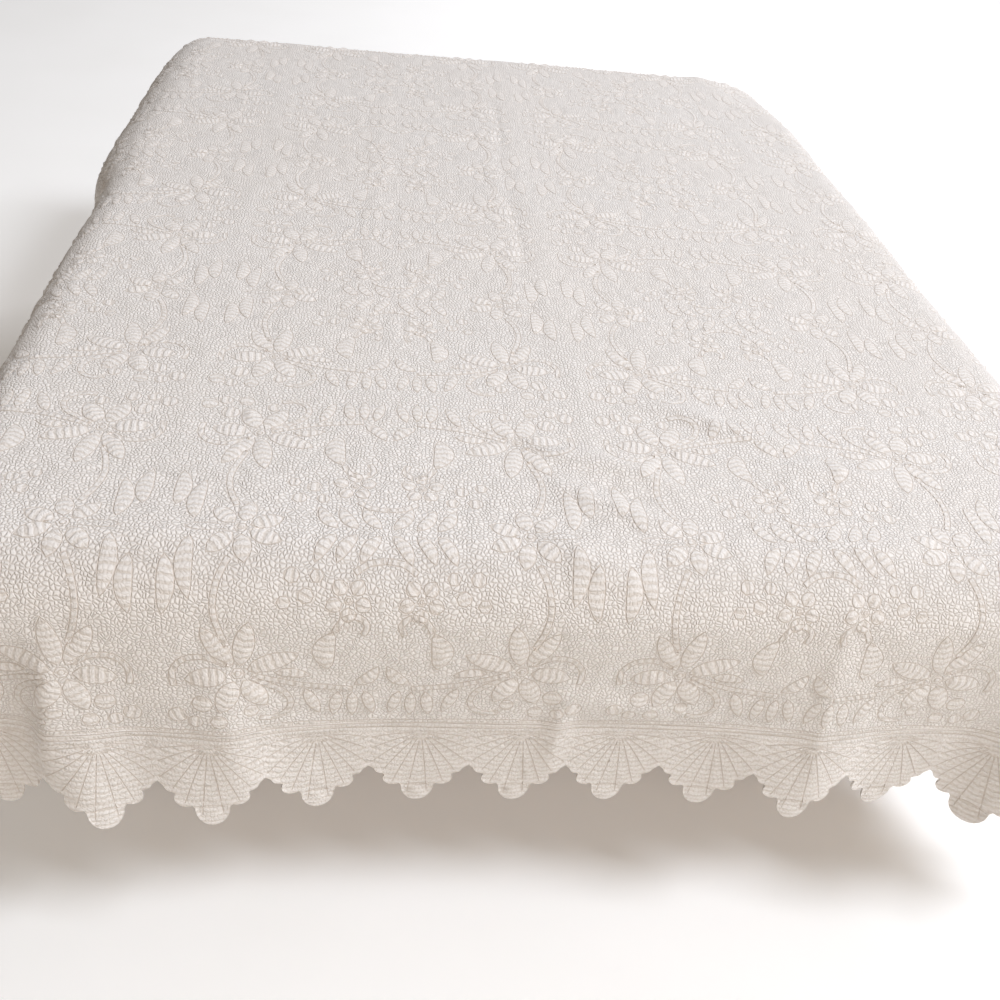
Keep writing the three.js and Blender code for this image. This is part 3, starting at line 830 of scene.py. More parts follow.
@dataclass
class ScallopedHem:
    """The scalloped border: oval lobes along the edge, a fan of stitched rays in each, and border lines.

    A lobe is its middle across and along the drop, and its half width and half height.
    """

    drape: Drape
    left_count: float = 25.5
    right_count: float = 26.5
    middle_x: float = -38.0
    hub: float = 340.0
    valley: float = 362.0
    slope_end: float = 421.0
    half: float = 64.0
    lobes: tuple[tuple[float, float, float, float], ...] = (
        (-46, 370, 10, 9), (-31, 389, 14, 14), (0, 406, 21, 31), (31, 389, 14, 14), (46, 370, 10, 9))
    border: tuple[float, ...] = (272.0, 279.5, 287.0)
    border_sway: float = 1.1
    border_wave: float = 41.0
    border_step: float = 9.0
    seam_end: float = 4.0
    crown_end: float = 8.0
    fan_apex: float = 297.0
    ray_turns: tuple[float, ...] = (-81, -63, -46, -31, -18, -6, 6, 18, 31, 46, 63, 81)
    ray_margin: float = 6.0
    ray_gap: float = 3.0
    ray_droop: float = 0.1
    ray_stops: tuple[float, float, int] = (0.12, 1.0, 10)
    crown_stops: tuple[float, float, int] = (0.3, 0.94, 7)
    tip_line: tuple[Point, ...] = ((-17, 407), (-9, 403), (0, 402), (9, 403), (17, 407))
    ring_rise: float = 115.0
    edge_samples: int = 40
    head_step: float = 12.0

    def __post_init__(self) -> None:
        """Spaces the scallops so that one has its middle where the foot has it and both ends are whole."""
        self.middle_run = self.drape.run_at(Edge.FOOT, self.middle_x)
        self.left_pitch = self.middle_run / self.left_count
        self.right_pitch = (self.drape.hem_run - self.middle_run) / self.right_count
        self.count = round(self.left_count + self.right_count)

    def span(self, index: int) -> tuple[float, float]:
        """Finds a scallop on the hem.

        Args:
            index: Its number, from the head of the left side.
        Returns:
            The run of its middle along the hem, and its share of the drawn width.
        """
        place = index + 0.5 - self.left_count
        pitch = self.left_pitch if place <= 0 else self.right_pitch
        return self.middle_run + place * pitch, pitch / (2 * self.half)

    def reach(self, hub: float, turn: float, margin: float = 0.0) -> float:
        """Measures from a hub straight to the scalloped edge.

        Args:
            hub: The hub's length on the drop.
            turn: The heading, from straight down, in radians.
            margin: How far inside the edge it stops.
        Returns:
            The distance.
        """
        best = 0.0
        for across, depth, half_width, half_height in self.lobes:
            wide, high = half_width - margin, half_height - margin
            way = (math.sin(turn) / wide, math.cos(turn) / high)
            middle = (across / wide, (depth - hub) / high)
            speed = way[0] ** 2 + way[1] ** 2
            ahead = way[0] * middle[0] + way[1] * middle[1]
            inside = ahead ** 2 - speed * (middle[0] ** 2 + middle[1] ** 2 - 1)
            if inside > 0:
                best = max(best, (ahead + math.sqrt(inside)) / speed)
        return best

    def slope(self, hub: float, turn: float, margin: float = 0.0) -> float:
        """Measures from a hub to the straight slope that runs from a valley to the foot of the tip."""
        fall = (self.slope_end - self.valley) / self.half
        return (self.slope_end - margin - hub) / (fall * abs(math.sin(turn)) + math.cos(turn))

    def edge_line(self) -> Path:
        """Draws the edge of the cut, from the left of the head round the foot and back along the head.

        Returns:
            The points of the edge, on the flat cut.
        """
        last = math.atan2(self.half, self.valley - self.hub)
        path = [self.drape.flat_at(0.0, self.valley)]
        for index in range(self.count):
            middle, share = self.span(index)
            for i in range(1, self.edge_samples):
                turn = last * (2 * i / self.edge_samples - 1)
                far = max(self.reach(self.hub, turn), self.slope(self.hub, turn))
                spot = (middle + share * far * math.sin(turn), self.hub + far * math.cos(turn))
                path.append(self.drape.flat_at(*spot))
            path.append(self.drape.flat_at(min(middle + share * self.half, self.drape.hem_run), self.valley))
        right, left = path[-1][0], path[0][0]
        across = np.linspace(right, left, round((right - left) / self.head_step) + 1)[1:-1]
        return path + [(float(u), self.drape.head_end) for u in across]

    def border_line(self, length: float, end: float) -> Path:
        """Draws a line along the border, a little wavy.

        Args:
            length: How far down the drop it runs.
            end: How far it keeps from both ends of the hem.
        Returns:
            The points on the flat cut.
        """
        runs = np.linspace(end, self.drape.hem_run - end, round(self.drape.hem_run / self.border_step))
        sways = [self.border_sway * math.sin(run / self.border_wave + length) for run in runs]
        return [self.drape.flat_at(run, length + sway) for run, sway in zip(runs, sways)]

    def stitched(self) -> Iterator[Path]:
        """Draws the border lines and every fan.

        Yields:
            Each stitched line on the flat cut.
        """
        for length in self.border:
            yield self.border_line(length, self.seam_end)
        tip = spline(list(self.tip_line), OUTLINE_STEP)
        for index in range(self.count):
            middle, share = self.span(index)
            for degrees in self.ray_turns:
                yield self.ray(middle, share, degrees, np.linspace(*self.ray_stops))
            yield [self.drape.flat_at(middle + share * across, depth) for across, depth in tip]

    def crowns(self) -> Iterator[Path]:
        """Lists the high points between border lines and between the rays of each fan.

        Yields:
            Each row of points on the flat cut.
        """
        for upper, lower in zip(self.border, self.border[1:]):
            yield self.border_line((upper + lower) / 2, self.crown_end)
        for index in range(self.count):
            middle, share = self.span(index)
            for one, two in zip(self.ray_turns, self.ray_turns[1:]):
                yield self.ray(middle, share, (one + two) / 2, np.linspace(*self.crown_stops))

    def ray(self, middle: float, share: float, degrees: float, stops: np.ndarray) -> Path:
        """Draws one ray of a fan, which droops a little toward its end.

        Args:
            middle: The run of the fan's middle along the hem.
            share: The fan's share of the drawn width.
            degrees: The heading of the ray's end, from straight down.
            stops: The shares of its length at which it has points.
        Returns:
            The points on the flat cut.
        """
        far = self.ray_length(math.radians(degrees))
        turns = np.radians(degrees * (1 + self.ray_droop * (1 - stops)))
        across, down = far * stops * np.sin(turns), far * stops * np.cos(turns)
        return [self.drape.flat_at(middle + share * a, self.fan_apex + d) for a, d in zip(across, down)]

    def fan_rings(self, run: np.ndarray, length: np.ndarray) -> np.ndarray:
        """Lays out the border so that ribs run level above the fans and in wide arcs across each fan.

        Args:
            run: Three places along the hem for each triangle.
            length: Their lengths on the drop.
        Returns:
            A place in the rib layout for each of them.
        """
        spans = np.array([self.span(index) for index in range(self.count)])
        nearest = np.abs(run.mean(axis=1)[:, None] - spans[:, 0]).argmin(axis=1)
        middle, share = spans[nearest].T
        across = (run - middle[:, None]) / share[:, None]
        down = length - self.fan_apex + self.ring_rise
        rings = np.stack([np.arctan2(across, down) * self.half, np.hypot(across, down)], axis=2)
        above = (length.mean(axis=1) < self.fan_apex)[:, None, None]
        return np.where(above, np.stack([run, -length], axis=2), rings)

    def ray_length(self, turn: float) -> float:
        """Measures a fan's ray, which stops short of the hem and of the next fan."""
        far = max(measure(self.fan_apex, turn, self.ray_margin) for measure in (self.reach, self.slope))
        return min(far, (self.half - self.ray_gap) / max(abs(math.sin(turn)), TINY))


@dataclass
class FlatMesh:
    """A meshed cut: its vertices, triangles, padded shape of each triangle or -1, seams and rim."""

    points: np.ndarray
    triangles: np.ndarray
    shape: np.ndarray
    sewn: np.ndarray
    seams: np.ndarray
    rim: np.ndarray

    def seam_sides(self) -> np.ndarray:
        """Tells which sides of each triangle are sewn, each side by the corner that faces it."""
        pairs = np.stack([np.roll(self.triangles, -1, axis=1), np.roll(self.triangles, 1, axis=1)], axis=2)
        return np.isin(pairs.min(axis=2) * SEAM_KEY + pairs.max(axis=2), self.seams)

    def raise_gaps(self, least: float) -> None:
        """Puts a free vertex in each triangle that is sewn all round, so that the cloth can rise there.

        Args:
            least: The smallest inner radius of a triangle that is sewn at its corners only.
        """
        sides = self.side_lengths()
        round_it = sides.sum(axis=1)
        radius = self.doubled_area() / round_it
        closed = self.sewn[self.triangles].all(axis=1)
        split = closed & (radius > least) | (self.seam_sides().sum(axis=1) > 1)
        ends = self.points[self.triangles]
        centres = (ends * sides[:, :, None]).sum(axis=1)[split] / round_it[split][:, None]
        added = len(self.points) + np.arange(len(centres))
        a, b, c = self.triangles[split].T
        parts = [np.column_stack(t) for t in ((a, b, added), (b, c, added), (c, a, added))]
        self.triangles = np.vstack([self.triangles[~split], *parts])
        self.shape = np.concatenate([self.shape[~split], *[self.shape[split]] * 3])
        self.points = np.vstack([self.points, centres])
        self.sewn = np.concatenate([self.sewn, np.zeros(len(centres), bool)])

    def side_lengths(self) -> np.ndarray:
        """Measures the sides of each triangle, each by the corner that faces it."""
        ends = self.points[self.triangles]
        return np.linalg.norm(np.roll(ends, 1, axis=1) - np.roll(ends, -1, axis=1), axis=2)

    def doubled_area(self) -> np.ndarray:
        """Measures the triangles.

        Returns:
            Twice the area of each.
        """
        ends = self.points[self.triangles]
        one, two = ends[:, 1] - ends[:, 0], ends[:, 2] - ends[:, 0]
        return np.maximum(np.abs(one[:, 0] * two[:, 1] - one[:, 1] * two[:, 0]), TINY)

    def seam_distance(self, far: float) -> np.ndarray:
        """Measures from each corner of each triangle to the seam that the triangle touches.

        Args:
            far: The distance written where it touches none.
        Returns:
            A row of three distances for each triangle.
        """
        sides = self.side_lengths()
        facing = self.seam_sides()
        corners = np.full(self.triangles.shape, far)
        one_side = facing.sum(axis=1) == 1
        heights = self.doubled_area()[:, None] / np.maximum(sides, TINY)
        corners[one_side] = np.where(facing, heights, 0.0)[one_side]
        at_seam = self.sewn[self.triangles]
        tip = ~facing.any(axis=1) & (at_seam.sum(axis=1) == 1)
        corners[tip] = np.where(at_seam, 0.0, sides.min(axis=1)[:, None])[tip]
        return corners


@dataclass
class FlatCut:
    """The cloth laid flat, meshed so that every stitched line is a row of edges."""

    edge: Path
    points: Path = field(default_factory=list)
    edges: list[tuple[int, int]] = field(default_factory=list)
    shapes: list[list[int]] = field(default_factory=list)
    free: Path = field(default_factory=list)

    def __post_init__(self) -> None:
        """Puts the edge of the cut in first."""
        self.points = list(self.edge)
        self.rim = list(range(len(self.edge)))

    def corners(self) -> tuple[np.ndarray, np.ndarray]:
        """Gives the lowest and the highest corner of the cut."""
        return np.min(self.edge, axis=0), np.max(self.edge, axis=0)

    def signed_area(self) -> float:
        """Measures the cut, below nothing where its edge runs clockwise."""
        here, following = np.array(self.edge), np.roll(self.edge, -1, axis=0)
        return float(np.sum(here[:, 0] * following[:, 1] - here[:, 1] * following[:, 0])) / 2

    def add_shape(self, path: Path) -> None:
        """Adds a closed stitched outline, turned anticlockwise.

        Args:
            path: The points of the closed line.
        """
        area = sum(a[0] * b[1] - a[1] * b[0] for a, b in zip(path, path[1:] + path[:1]))
        first = len(self.points)
        self.points += path if area > 0 else path[::-1]
        self.shapes.append(list(range(first, len(self.points))))

    def long_ways(self) -> np.ndarray:
        """Finds the direction in which each closed outline is longest.

        Returns:
            A unit vector for each.
        """
        points = np.array(self.points)
        spreads = np.array([np.cov(points[shape].T) for shape in self.shapes])
        return np.linalg.eigh(spreads)[1][:, :, 1]

    def add_line(self, path: Path) -> None:
        """Adds an open stitched line.

        Args:
            path: The points of the line.
        """
        first = len(self.points)
        self.points += path
        self.edges += [(i, i + 1) for i in range(first, len(self.points) - 1)]

    def fill(self, spacing: float, clear: float, low: Point, high: Point, rng: np.random.Generator) -> None:
        """Scatters points between the stitched lines.

        Args:
            spacing: The distance between them.
            clear: How far they keep from stitched lines.
            low: The lowest corner of the cloth.
            high: Its highest corner.
            rng: The source of their small shifts.
        """
        rows = np.arange(low[1], high[1], spacing * math.sqrt(3) / 2)
        spots = np.array([(u + (i % 2) * spacing / 2, v) for i, v in enumerate(rows)
                          for u in np.arange(low[0], high[0], spacing)])
        spots += rng.uniform(-JITTER, JITTER, spots.shape) * spacing
        self.points += self.free
        tree = kd_tree(np.array(self.points))
        self.points += [tuple(p) for p in spots if tree.find((p[0], p[1], 0))[2] > clear]

    def mesh(self) -> FlatMesh:
        """Meshes the cut.

        Returns:
            The mesh, without the points that no triangle uses.
        """
        loop = self.rim + self.rim[:1]
        edges = [*zip(loop, loop[1:]), *self.edges]
        places, sides, faces, from_points, from_edges, from_shapes = delaunay_2d_cdt(
            [Vector(p) for p in self.points], edges, self.shapes, INSIDE, MERGE)
        triangles = np.array([t for face in faces for t in zip(face[:1] * len(face), face[1:], face[2:])])
        shape = np.array([max(origins, default=-1) for face, origins in zip(faces, from_shapes)
                          for _ in face[2:]])
        first = len(self.rim)
        seams = np.array([side for side, origins in zip(sides, from_edges)
                          if any(i >= first for i in origins)], int)
        where = {origin: i for i, origins in enumerate(from_points) for origin in origins}
        rim = np.array([where[i] for i in self.rim])
        used, renamed = np.unique(np.concatenate([triangles.ravel(), rim]), return_inverse=True)
        name = np.zeros(len(places), int)
        name[used] = np.arange(len(used))
        seams = np.sort(name[seams.reshape(-1, 2)], axis=1)
        sewn = np.zeros(len(used), bool)
        sewn[seams.ravel()] = True
        corners = renamed[:triangles.size].reshape(-1, 3)
        return FlatMesh(np.array([tuple(p) for p in places])[used], corners, shape, sewn,
                        seams[:, 0] * SEAM_KEY + seams[:, 1], renamed[triangles.size:])


def kd_tree(points: np.ndarray) -> kdtree.KDTree:
    """Sorts flat points so that the nearest one is found quickly.

    Args:
        points: Places on the flat cut.
    Returns:
        The search tree.
    """
    tree = kdtree.KDTree(len(points))
    for i, (u, v) in enumerate(points):
        tree.insert((u, v, 0), i)
    tree.balance()
    return tree


@dataclass(frozen=True)
class Crease:
    """A crease left in the cloth, along a line of the flat cut; a trough has a soft ridge on each side."""

    path: tuple[Point, ...]
    half_width: float
    height: float
    trough: bool = False
    ridge_spread: float = 25.0
    end_share: float = 0.02
    taper: float = 0.6

    def lift(self, flat: np.ndarray) -> np.ndarray:
        """Tells how far the crease lifts the cloth.

        Args:
            flat: Places on the flat cut.
        Returns:
            The lift at each place.
        """
        best = np.full(len(flat), np.inf)
        fade = np.ones(len(flat))
        total = sum(math.dist(a, b) for a, b in zip(self.path, self.path[1:]))
        done = 0.0
        for a, b in zip(self.path, self.path[1:]):
            start, way = np.array(a), np.array(b) - np.array(a)
            size = float(np.linalg.norm(way))
            share = np.clip((flat - start) @ way / size ** 2, 0, 1)
            away = np.linalg.norm(flat - start - share[:, None] * way, axis=1)
            nearer = away < best
            best = np.where(nearer, away, best)
            reached = np.clip((done + share * size) / total, self.end_share, 1 - self.end_share)
            fade = np.where(nearer, np.sin(math.pi * reached) ** self.taper, fade)
            done += size
        off = (best / self.half_width) ** 2
        shape = (1 - np.exp(-off)) * np.exp(-off / self.ridge_spread) if self.trough else np.exp(-off)
        return self.height * fade * shape


@dataclass
class Coverlet:
    """The quilted coverlet: one cut of cloth, padded between its stitched lines and draped."""

    drape: Drape
    cotton: QuiltedCotton = QuiltedCotton()
    pattern: FlowerPattern = field(default_factory=FlowerPattern)
    seed: int = 7
    spacing: float = 14.0
    seam_clear: float = 5.5
    gap_radius: float = 1.8
    back_spacing: float = 28.0
    back_clear: float = 8.0
    field_end: float = 270.0
    margin: float = 4.0
    puff_rise: float = 5.5
    rim_rise: float = 3.0
    shape_puff: float = 4.2
    ground_puff: float = 1.9
    fan_puff: float = 3.2
    fan_ribs: float = 0.9
    wave_height: float = 1.1
    swell_height: float = 1.2
    hem_thickness: float = 1.8
    far_stitch: float = 9.0
    crisp_angle: float = 62.0
    creases: tuple[Crease, ...] = (
        Crease(((7, 950), (-2, 323), (2, -349), (12, -535), (26, -647)), 11, 2.6, trough=True),
        Crease(((-254, 737), (-256, 12), (-280, -536)), 16, 1.5),
        Crease(((140, -645), (199, -675), (237, -702), (340, -735)), 20, 8.5),
        Crease(((-50, -745), (3, -778), (54, -788), (104, -811), (155, -833)), 19, 8.0),
        Crease(((-18, -830), (16, -857), (47, -881), (88, -902), (140, -918)), 19, 7.5),
        Crease(((-30, -935), (27, -985), (85, -1005)), 20, 6.0),
        Crease(((300, -784), (365, -796), (450, -797)), 18, 6.0),
        Crease(((290, -935), (354, -945), (465, -931)), 20, 6.0),
        Crease(((-300, -700), (-166, -702), (-60, -720)), 16, 2.6),
        Crease(((10, -1140), (5, -1240), (2, -1325)), 13, 5.0),
        Crease(((5, -1165), (65, -1188), (180, -1206)), 16, 4.4),
        Crease(((325, -990), (336, -1155), (358, -1345)), 15, 4.2),
        Crease(((-592, -1090), (-602, -1200), (-622, -1370)), 15, 9.0),
        Crease(((-402, -1120), (-398, -1240), (-384, -1360)), 34, 9.0))

    def cut(self, hem: ScallopedHem) -> FlatCut:
        """Lays out the edge, the flowers and the border on the flat cut.

        Args:
            hem: The scalloped border.
        Returns:
            The laid-out cut.
        """
        cut = FlatCut(hem.edge_line())
        low, high = cut.corners()
        for shape in self.pattern.shapes():
            for path in self.pattern.repeat(shape.outline(), low, high):
                if self.on_field(path):
                    cut.add_shape(path)
            for path in self.pattern.repeat(shape.crown(), low, high):
                cut.free += path if self.on_field(path) else []
        for line in self.pattern.lines():
            for path in self.pattern.repeat(line, low, high):
                if self.on_field(path):
                    cut.add_line(path)
        for path in hem.stitched():
            cut.add_line(path)
        for path in hem.crowns():
            cut.free += path
        return cut

    def on_field(self, path: Path) -> bool:
        """Tells whether a motif lies wholly on the flowered field.

        Args:
            path: Its outline on the flat cut.
        Returns:
            True where it does.
        """
        points = np.array(path)
        _, length, _ = self.drape.unroll(points)
        return bool(length.max() < self.field_end and points[:, 1].max() < self.drape.head_end - self.margin)

    def unevenness(self, flat: np.ndarray) -> np.ndarray:
        """Gives the low waves and creases of washed cloth, which only lift it.

        Args:
            flat: Places on the flat cut.
        Returns:
            The lift in millimetres.
        """
        u, v = flat[:, 0], flat[:, 1]
        # the lengths of these waves share no measure, so that no two places on the bed look alike
        waves = np.sin(u / 97 + 0.6 * np.sin(v / 171)) * np.sin(v / 83 + 0.8 * np.sin(u / 139) + 1.3)
        slow = np.sin(u / 233 + v / 311 + 0.4) * np.sin(v / 197 - u / 401)
        lift = self.wave_height * (1 + waves) + self.swell_height * (1 + slow)
        for crease in self.creases:
            lift = lift + crease.lift(flat)
        return lift

    def face(self, cut: FlatCut, rng: np.random.Generator) -> tuple[FlatMesh, np.ndarray]:
        """Meshes the face of the cloth, pads it between its stitched lines and drapes it.

        Args:
            cut: The laid-out cut.
            rng: The source of small shifts.
        Returns:
            The meshed cut, and where its vertices come to lie.
        """
        tree = kd_tree(np.array(cut.points[len(cut.edge):]))
        cut.fill(self.spacing, self.seam_clear, *cut.corners(), rng)
        cloth = cut.mesh()
        cloth.raise_gaps(self.gap_radius)
        away = np.array([tree.find((u, v, 0))[2] for u, v in cloth.points])
        away[cloth.sewn] = 0.0
        away[cloth.rim] = self.rim_rise
        padded = np.zeros(len(cloth.points), bool)
        padded[cloth.triangles[cloth.shape >= 0]] = True
        puff = np.where(self.on_border(cloth.points), self.fan_puff,
                        np.where(padded, self.shape_puff, self.ground_puff))
        lift = self.unevenness(cloth.points) + puff * (1 - np.exp(-away / self.puff_rise))
        return cloth, self.drape.place(cloth.points) + self.drape.outward(cloth.points) * lift[:, None]

    def back(self, edge: Path, rng: np.random.Generator) -> tuple[FlatMesh, np.ndarray]:
        """Meshes the plain back of the cloth and drapes it under the face.

        Args:
            edge: The edge of the cut.
            rng: The source of small shifts.
        Returns:
            The meshed back, and where its vertices come to lie.
        """
        cut = FlatCut(edge)
        cut.fill(self.back_spacing, self.back_clear, *cut.corners(), rng)
        cloth = cut.mesh()
        depth = np.full(len(cloth.points), self.drape.thickness)
        depth[cloth.rim] = self.hem_thickness
        lift = self.unevenness(cloth.points) - depth
        return cloth, self.drape.place(cloth.points) + self.drape.outward(cloth.points) * lift[:, None]

    def on_border(self, flat: np.ndarray) -> np.ndarray:
        """Tells which places of the flat cut lie on the scalloped border, below the flowered field."""
        return self.drape.unroll(flat)[1] > self.field_end + self.margin

    def build(self) -> bpy.types.Object:
        """Makes, drapes and dresses the coverlet.

        Returns:
            The finished piece.
        """
        hem = ScallopedHem(self.drape)
        cut = self.cut(hem)
        stitched = len(cut.points)
        rng = np.random.default_rng(self.seed)
        cloth, front = self.face(cut, rng)
        under, back = self.back(cut.edge, rng)
        behind = under.rim + len(front)
        rim = np.column_stack([np.roll(cloth.rim, -1), cloth.rim, behind, np.roll(behind, -1)])
        if cut.signed_area() < 0:
            rim = rim[:, ::-1]
        lining = under.triangles[:, ::-1] + len(front)
        faces = [*cloth.triangles.tolist(), *lining.tolist(), *rim.tolist()]
        mesh = bpy.data.meshes.new("coverlet")
        mesh.from_pydata((np.vstack([front, back]) * MM).tolist(), [], faces)
        on_border = self.on_border(cloth.points[cloth.triangles].mean(axis=1))
        ribs = self.rib_layout(cloth, cut.long_ways(), hem, on_border)
        raised = np.where(on_border, self.fan_ribs, cloth.shape >= 0)
        self.write_layers(mesh, np.vstack([cloth.points, under.points]), ribs,
                          cloth.seam_distance(self.far_stitch), raised)
        piece = bpy.data.objects.new("quilted_coverlet", mesh)
        bpy.context.collection.objects.link(piece)
        mesh.materials.append(self.cotton.material())
        bpy.ops.object.select_all(action="DESELECT")
        piece.select_set(True)
        bpy.context.view_layer.objects.active = piece
        bpy.ops.object.shade_smooth_by_angle(angle=math.radians(self.crisp_angle))
        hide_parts("coverlet")
        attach(piece, "root")
        low, high = cut.corners()
        size = (high - low) * MM
        area = abs(cut.signed_area())
        log.info("%s: %d faces, %d stitched points, %.3f by %.3f m flat", piece.name, len(faces), stitched,
                 *size)
        return piece

    def rib_layout(self, cloth: FlatMesh, ways: np.ndarray, hem: ScallopedHem,
                   on_border: np.ndarray) -> np.ndarray:
        """Lays the ribs across each padded shape and round the top of each fan.

        Args:
            cloth: The meshed face of the cloth.
            ways: The long direction of each shape.
            hem: The scalloped border.
            on_border: Which triangles lie on it.
        Returns:
            A place in the rib layout for each corner of each triangle.
        """
        layout = cloth.points[cloth.triangles]
        held = cloth.shape >= 0
        along = ways[cloth.shape[held]]
        across = np.column_stack([along[:, 1], -along[:, 0]])
        layout[held] = np.stack([(layout[held] * way[:, None]).sum(axis=2) for way in (across, along)],
                                axis=2)
        run, length, _ = self.drape.unroll(cloth.points)
        border = cloth.triangles[on_border]
        layout[on_border] = hem.fan_rings(run[border], length[border])
        return layout.reshape(-1, 2)

    def write_layers(self, mesh: bpy.types.Mesh, flat: np.ndarray, ribs: np.ndarray, away: np.ndarray,
                     raised: np.ndarray) -> None:
        """Writes what the material reads: the flat layout, the rib layout, the stitching and the padding.

        The face of the cloth comes first in the mesh; the rest of it is plain.

        Args:
            mesh: The mesh of the cloth.
            flat: Each vertex on the flat cut.
            ribs: The rib layout of the face's corners.
            away: The distance of the face's corners from stitching.
            raised: How far each triangle of the face is ribbed instead of pebbled.
        """
        corners = np.empty(len(mesh.loops), np.int32)
        mesh.loops.foreach_get("vertex_index", corners)
        spread = flat[corners]
        plain_corners = np.full(len(corners) - away.size, self.far_stitch)
        plain_faces = np.zeros(len(mesh.polygons) - len(raised))
        for name, domain, values in (
                ("stitch", "CORNER", np.concatenate([away.ravel(), plain_corners]) * MM),
                ("raised", "FACE", np.concatenate([raised, plain_faces]))):
            layer = mesh.attributes.new(name, "FLOAT", domain)
            layer.data.foreach_set("value", values.astype(np.float32))
        for name, places in (("flat", spread), ("ribs", np.vstack([ribs, spread[len(ribs):]]))):
            layer = mesh.uv_layers.new(name=name)
            layer.data.foreach_set("uv", (places * MM).astype(np.float32).ravel())


@dataclass
class Mattress:
    """A foam mattress in a sewn ticking cover, with soft edges and channelled sides."""

    low: Vector
    high: Vector
    edge: float = 0.080
    channel: float = 0.005
    channels: int = 3
    channel_sharpness: int = 6
    skin: float = 0.001
    side_steps: tuple[int, ...] = (20, 16, 20, 16)
    turn_steps: int = 8
    cap_spacing: float = 60.0
    cap_clear: float = 30.0
    seed: int = 3
    fill: float = 0.9
    ticking: Ticking = Ticking()
    dip: Dip = Dip(62.0, 330.0, 640.0)

    def ring(self, inset: float, height: float) -> list[Vector]:
        """Draws one level of the mattress.

        Args:
            inset: How far in from the sides.
            height: How far up from its underside.
        Returns:
            Points round the level.
        """
        radius = self.edge - inset
        half = (self.high - self.low) / 2
        points: list[Vector] = []
        for corner, (right, up) in enumerate(((1, 1), (-1, 1), (-1, -1), (1, -1))):
            turns = [math.pi / 2 * (corner + i / self.turn_steps) for i in range(self.turn_steps + 1)]
            middle = Vector((right * (half.x - self.edge), up * (half.y - self.edge)))
            arc = [middle + radius * Vector((math.cos(t), math.sin(t))) for t in turns]
            points += self.between(points[-1], arc[0], self.side_steps[corner]) if points else []
            points += arc
        points += self.between(points[-1], points[0], self.side_steps[0])
        return [self.settle(Vector((p.x, p.y, self.low.z + height))) for p in points]

    def between(self, start: Vector, end: Vector, steps: int) -> list[Vector]:
        """Lists the points between two others, in even steps."""
        return [start + (end - start) * i / steps for i in range(1, steps)]

    def settle(self, point: Vector) -> Vector:
        """Sinks a point with the soft corner, the more the higher it is.

        Args:
            point: The point as it would lie on a level mattress.
        Returns:
            Where it comes to lie.
        """
        share = (point.z - self.low.z) / (self.high.z - self.low.z)
        corner = (self.high.x / MM, self.high.y / MM)
        sunk = self.dip.at(np.array([point.x / MM]), np.array([point.y / MM]), corner)[0] * MM
        return Vector((point.x, point.y, point.z - sunk * share))

    def profile(self) -> list[tuple[float, float]]:
        """Draws the side from the underside up.

        Returns:
            The inset and the height of each level.
        """
        tall = self.high.z - self.low.z
        arc = [math.pi / 2 * i / self.turn_steps for i in range(self.turn_steps)]
        lower = [(self.edge * (1 - math.sin(t)), self.edge * (1 - math.cos(t))) for t in arc]
        count = self.channels * self.turn_steps
        wall = [(self.channel * abs(math.cos(math.pi * self.channels * i / count)) ** self.channel_sharpness
                 + self.skin, self.edge + (tall - 2 * self.edge) * i / count) for i in range(count + 1)]
        upper = [(inset, tall - height) for inset, height in reversed(lower)]
        return lower + wall + upper

    def build(self) -> bpy.types.Object:
        """Makes and dresses the mattress.

        Returns:
            The finished piece.
        """
        rings = [self.ring(*level) for level in self.profile()]
        count = len(rings[0])
        points = [p for ring in rings for p in ring]
        faces: list[list[int]] = []
        for level in range(len(rings) - 1):
            for i in range(count):
                a, b = level * count + i, level * count + (i + 1) % count
                faces.append([a, b, b + count, a + count])
        for level, up in ((0, False), (len(rings) - 1, True)):
            cap, triangles, rim = self.cap(rings[level], points[level * count].z)
            renamed = {int(v): level * count + i for i, v in enumerate(rim)}
            for i, point in enumerate(cap):
                if i not in renamed:
                    renamed[i] = len(points)
                    points.append(point)
            for tri in triangles:
                named = [renamed[int(v)] for v in tri]
                faces.append(named if up else named[::-1])
        mesh = bpy.data.meshes.new("mattress")
        mesh.from_pydata([tuple(p) for p in points], [], faces)
        piece = bpy.data.objects.new("mattress_cover", mesh)
        bpy.context.collection.objects.link(piece)
        mesh.materials.append(self.ticking.material())
        mesh.shade_smooth()
        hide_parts("mattress")
        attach(piece, "root")
        log.info("%s: %d faces", piece.name, len(faces))
        return piece

    def cap(self, ring: list[Vector], height: float) -> tuple[list[Vector], np.ndarray, np.ndarray]:
        """Closes the top or the underside.

        Args:
            ring: The level that it closes.
            height: Its height where it isn't sunk.
        Returns:
            Its points, its triangles, and which points lie along the level.
        """
        cut = FlatCut([(p.x / MM, p.y / MM) for p in ring])
        cut.fill(self.cap_spacing, self.cap_clear, *cut.corners(), np.random.default_rng(self.seed))
        cap = cut.mesh()
        level = self.high.z if height > (self.low.z + self.high.z) / 2 else self.low.z
        points = [self.settle(Vector((u * MM, v * MM, level))) for u, v in cap.points]
        return points, cap.triangles, cap.rim


